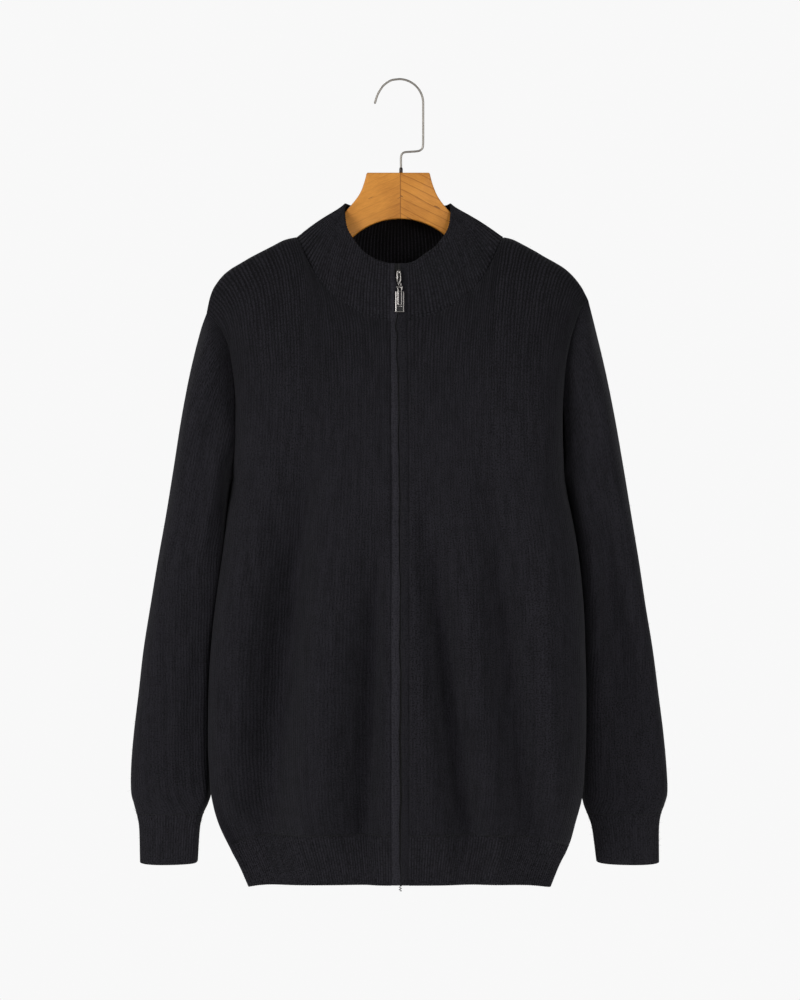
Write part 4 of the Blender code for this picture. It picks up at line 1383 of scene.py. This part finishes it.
# %% [markdown]
# ## The hook
# A steel wire rises from the wood through a small turned ferrule, cranks to the side,
# bends over the rail in an arc and ends in a nose that drops more steeply. It is a curve
# with a round bevel, turned into a mesh, with a ball for its rounded end.

# %% Bend the hook
HOOK_RADIUS = 26.5
HOOK_CENTRE = (-1.0, -25.0)
STEM_X = 1.1
WIRE = 1.15
FERRULE_RADIUS = 1.9
FERRULE_LENGTH = 4.6
FERRULE_Z = -99.2

STEM = (
    (STEM_X, BLOCK_TOP + 0.4), (STEM_X, -92), (STEM_X, -85), (2.2, -81), (5.2, -79.0), (12, -78.4),
    (19.5, -77.8), (23.4, -76), (25.2, -72.2), (25.5, -60), (25.5, -45), (25.5, -30),
)
NOSE = ((-1, 1.5), (-9.8, 0.1), (-17.6, -5), (-22.5, -11.6), (-25.6, -18.2), (-27.5, -24.6))

angle = np.radians(np.linspace(2, 90, 30))
bend = HOOK_CENTRE + HOOK_RADIUS * np.stack([np.cos(angle), np.sin(angle)], 1)
route = np.concatenate([smooth_curve(STEM, 80), bend, smooth_curve(NOSE, 40)[1:]])

curve = bpy.data.curves.new("hook_wire", "CURVE")
curve.dimensions = "3D"
curve.bevel_depth = WIRE * MM
curve.bevel_resolution = 5
curve.use_fill_caps = True
spline = curve.splines.new("POLY")
spline.points.add(len(route) - 1)
for point, (x, z) in zip(spline.points, route):
    point.co = (x * MM, 0, z * MM, 1)
wire = bpy.data.objects.new("hook_wire", curve)
bpy.context.scene.collection.objects.link(wire)
only(wire)
bpy.ops.object.convert(target="MESH")
bpy.ops.mesh.primitive_uv_sphere_add(
    segments=24, ring_count=12, radius=WIRE * MM, location=(route[-1][0] * MM, 0, route[-1][1] * MM)
)
wire = joined([wire, settle(bpy.context.object)], "hook_wire")
smooth(wire)
finish_piece(wire, steel, ["hook"])

place = (STEM_X * MM, 0, FERRULE_Z * MM)
radius, length = FERRULE_RADIUS * MM, FERRULE_LENGTH * MM
bpy.ops.mesh.primitive_cylinder_add(vertices=40, radius=radius, depth=length, location=place)
ferrule = settle(bpy.context.object)
ferrule.name = "turned_ferrule"
edit_faces(ferrule, (0, 0, 1))
for border, rise in ((0.25, 0.7), (0.3, 0.5)):
    inset(border)
    extrude(0, 0, rise)
leave_edit()
ferrule = rounded(ferrule, 0.12)
smooth(ferrule, sharp=40)
finish_piece(ferrule, dark_brass, ["ferrule"])
print("hook wire corners:", len(wire.data.vertices))

# %% [markdown]
# ## Seams
# The knitted pieces are linked together stitch by stitch, which leaves a fine chain of
# loops at the collar, armholes, hem and cuffs. One loop is a small stretched bead, and
# copies follow each seam.

# %% Link the seams
STITCH_PITCH = 2.6
ON_PLAIN = 0.5             # how far a chain stands off the middle of the cloth
ON_RIB = 0.95
ON_COLLAR = 0.6


def along(curve, pitch):
    """Evenly spaced places on a curve and the direction of the curve at each."""
    run = run_along(curve)
    at = np.arange(pitch / 2, run[-1], pitch)
    places = curve_at(at, run, curve)
    return places, unit(curve_at(at + 0.5, run, curve) - places)


def frames(ahead, outward):
    """3 x 3 turns whose first axis runs ahead and whose third points outward."""
    outward = unit(outward - ahead * np.sum(outward * ahead, axis=-1, keepdims=True))
    return np.stack([ahead, np.cross(outward, ahead), outward], axis=-1)


def linking(name, curve, centre, lift):
    """A chain of loops on a seam, on the side away from a centre line."""
    places, ahead = along(curve, STITCH_PITCH)
    outward = unit((places - centre) * (1, 1, 0))
    turns = frames(ahead, outward)
    item = copies(name, bead, (places + turns[..., 2] * lift) * MM, turns)
    smooth(item)
    return finish_piece(item, seam_yarn)


bpy.ops.mesh.primitive_uv_sphere_add(segments=8, ring_count=5, radius=1 * MM)
bead = bpy.context.object
bead.scale = (1.25, 0.5, 0.4)
bead = template(settle(bead))

dense = np.linspace(0, 2, 900)
for side in SIDES:
    armhole = sleeve_ring(side, 0, dense)
    linking("armhole_link_" + side, armhole, (SIDES[side] * 120, 0, 0), ON_PLAIN)
    wrist = sleeve_ring(side, CUFF_SEAM_ROW, dense)
    linking("cuff_link_" + side, wrist, wrist.mean(axis=0), ON_RIB)
    hem_share = np.linspace(0, 1, 500)
    for face in ("front", "back"):
        hem_line = body_surface(side, face, hem_share, np.zeros_like(hem_share))
        linking("hem_link_" + face + "_" + side, hem_line, (0, 0, 0), ON_RIB)
linking("collar_link", seam, (0, 0, 0), ON_COLLAR)
print("seam chains are linked")

# %% [markdown]
# ## Loose fibres
# Wool sheds fine hairs that stand off the cloth and blur its outline, and it picks up a
# few pale ones. A hair is a thin three-sided sliver with a bend. Places are drawn with
# a fixed seed from the sheets' own points.

# %% Scatter the hairs
HAIR_POINTS = 5
HAIR_THICK = 0.012         # against a length of 1
HAIR_SWAY = 0.28


def hair_shape():
    """A bent sliver, 1 long, that thins towards its end."""
    t = np.linspace(0, 1, HAIR_POINTS)
    corners = []
    faces = []
    for i, place in enumerate(t):
        thick = HAIR_THICK * (1 - 0.7 * place)
        bend = HAIR_SWAY * math.sin(2.4 * place) * place
        for k in range(3):
            turn = 2 * math.pi * k / 3
            corners.append((place, bend + thick * math.cos(turn), thick * math.sin(turn)))
        if i:
            for k in range(3):
                a, b = 3 * (i - 1) + k, 3 * (i - 1) + (k + 1) % 3
                faces.append((a, b, b + 3, a + 3))
    faces.append((2, 1, 0))
    faces.append((len(corners) - 3, len(corners) - 2, len(corners) - 1))
    return np.array(corners), faces


def hairs(name, count, low, high, seed, material, flat):
    """Hairs on all the knitted sheets; flat is how much they lie along the cloth."""
    draw = np.random.default_rng(seed)
    knitted = [n for n in sheets if not n.startswith(("facing", "woven"))]
    areas = np.array([sheets[n].shape[0] * sheets[n].shape[1] ** 0.5 for n in knitted])
    places = []
    turns = []
    for sheet_name, share in zip(knitted, areas / areas.sum()):
        points = sheets[sheet_name]
        normals = surface_normals(points)
        number = int(count * share)
        i = draw.integers(2, points.shape[0] - 2, number)
        j = draw.integers(2, points.shape[1] - 2, number)
        spot, normal = points[i, j], normals[i, j]
        way = unit(draw.normal(size=spot.shape))
        upright = normal * np.sum(way * normal, axis=-1, keepdims=True)
        way = unit(way - upright * flat + normal * 0.25)
        size = draw.uniform(low, high, number)
        turn = frames(way, unit(draw.normal(size=spot.shape)))
        places.append(spot + normal * 1.0)
        turns.append(turn * size[:, None, None])
    item = copies(name, hair_shape(), np.concatenate(places) * MM, np.concatenate(turns) * MM)
    return finish_piece(item, material)


hairs("wool_hairs", 5200, 2.0, 5.5, 11, hair_black, 0.6)
hairs("pale_lint", 110, 1.2, 3.6, 12, hair_pale, 0.95)
print("hairs are scattered")

# %% [markdown]
# ## What each sheet was cut from
# Every piece of cloth is printed with the size that it would have flat, worked out from
# its own grid. The tapes are narrower than NARROWEST, so their printed width is raised to
# it, and their area isn't.

# %% State the sheets


def flat_area(name):
    """Width, length and area in metres of a sheet laid flat, from its own points."""
    points = sheets[name] * MM
    across = np.linalg.norm(np.diff(points, axis=1), axis=-1)
    up = np.linalg.norm(np.diff(points, axis=0), axis=-1)
    width, length = across.sum(axis=1).max(), up.sum(axis=0).max()
    area = float((across[:-1] * up[:, :-1]).sum())
    return width, length, min(area, width * length)


RIB_TAKE_UP = 0.8          # a guess at flat rib's width, against the way over its waves
NARROWEST = 0.0105
for name in sheets:
    width, length, area = flat_area(name)
    if "rib" in name or name.startswith("hem"):
        width, area = width * RIB_TAKE_UP, area * RIB_TAKE_UP
    width = max(width, NARROWEST)
    item = bpy.data.objects[name]
    print(f"{name}: {width:.3f} x {length:.3f} m, {area:.4f} m2")
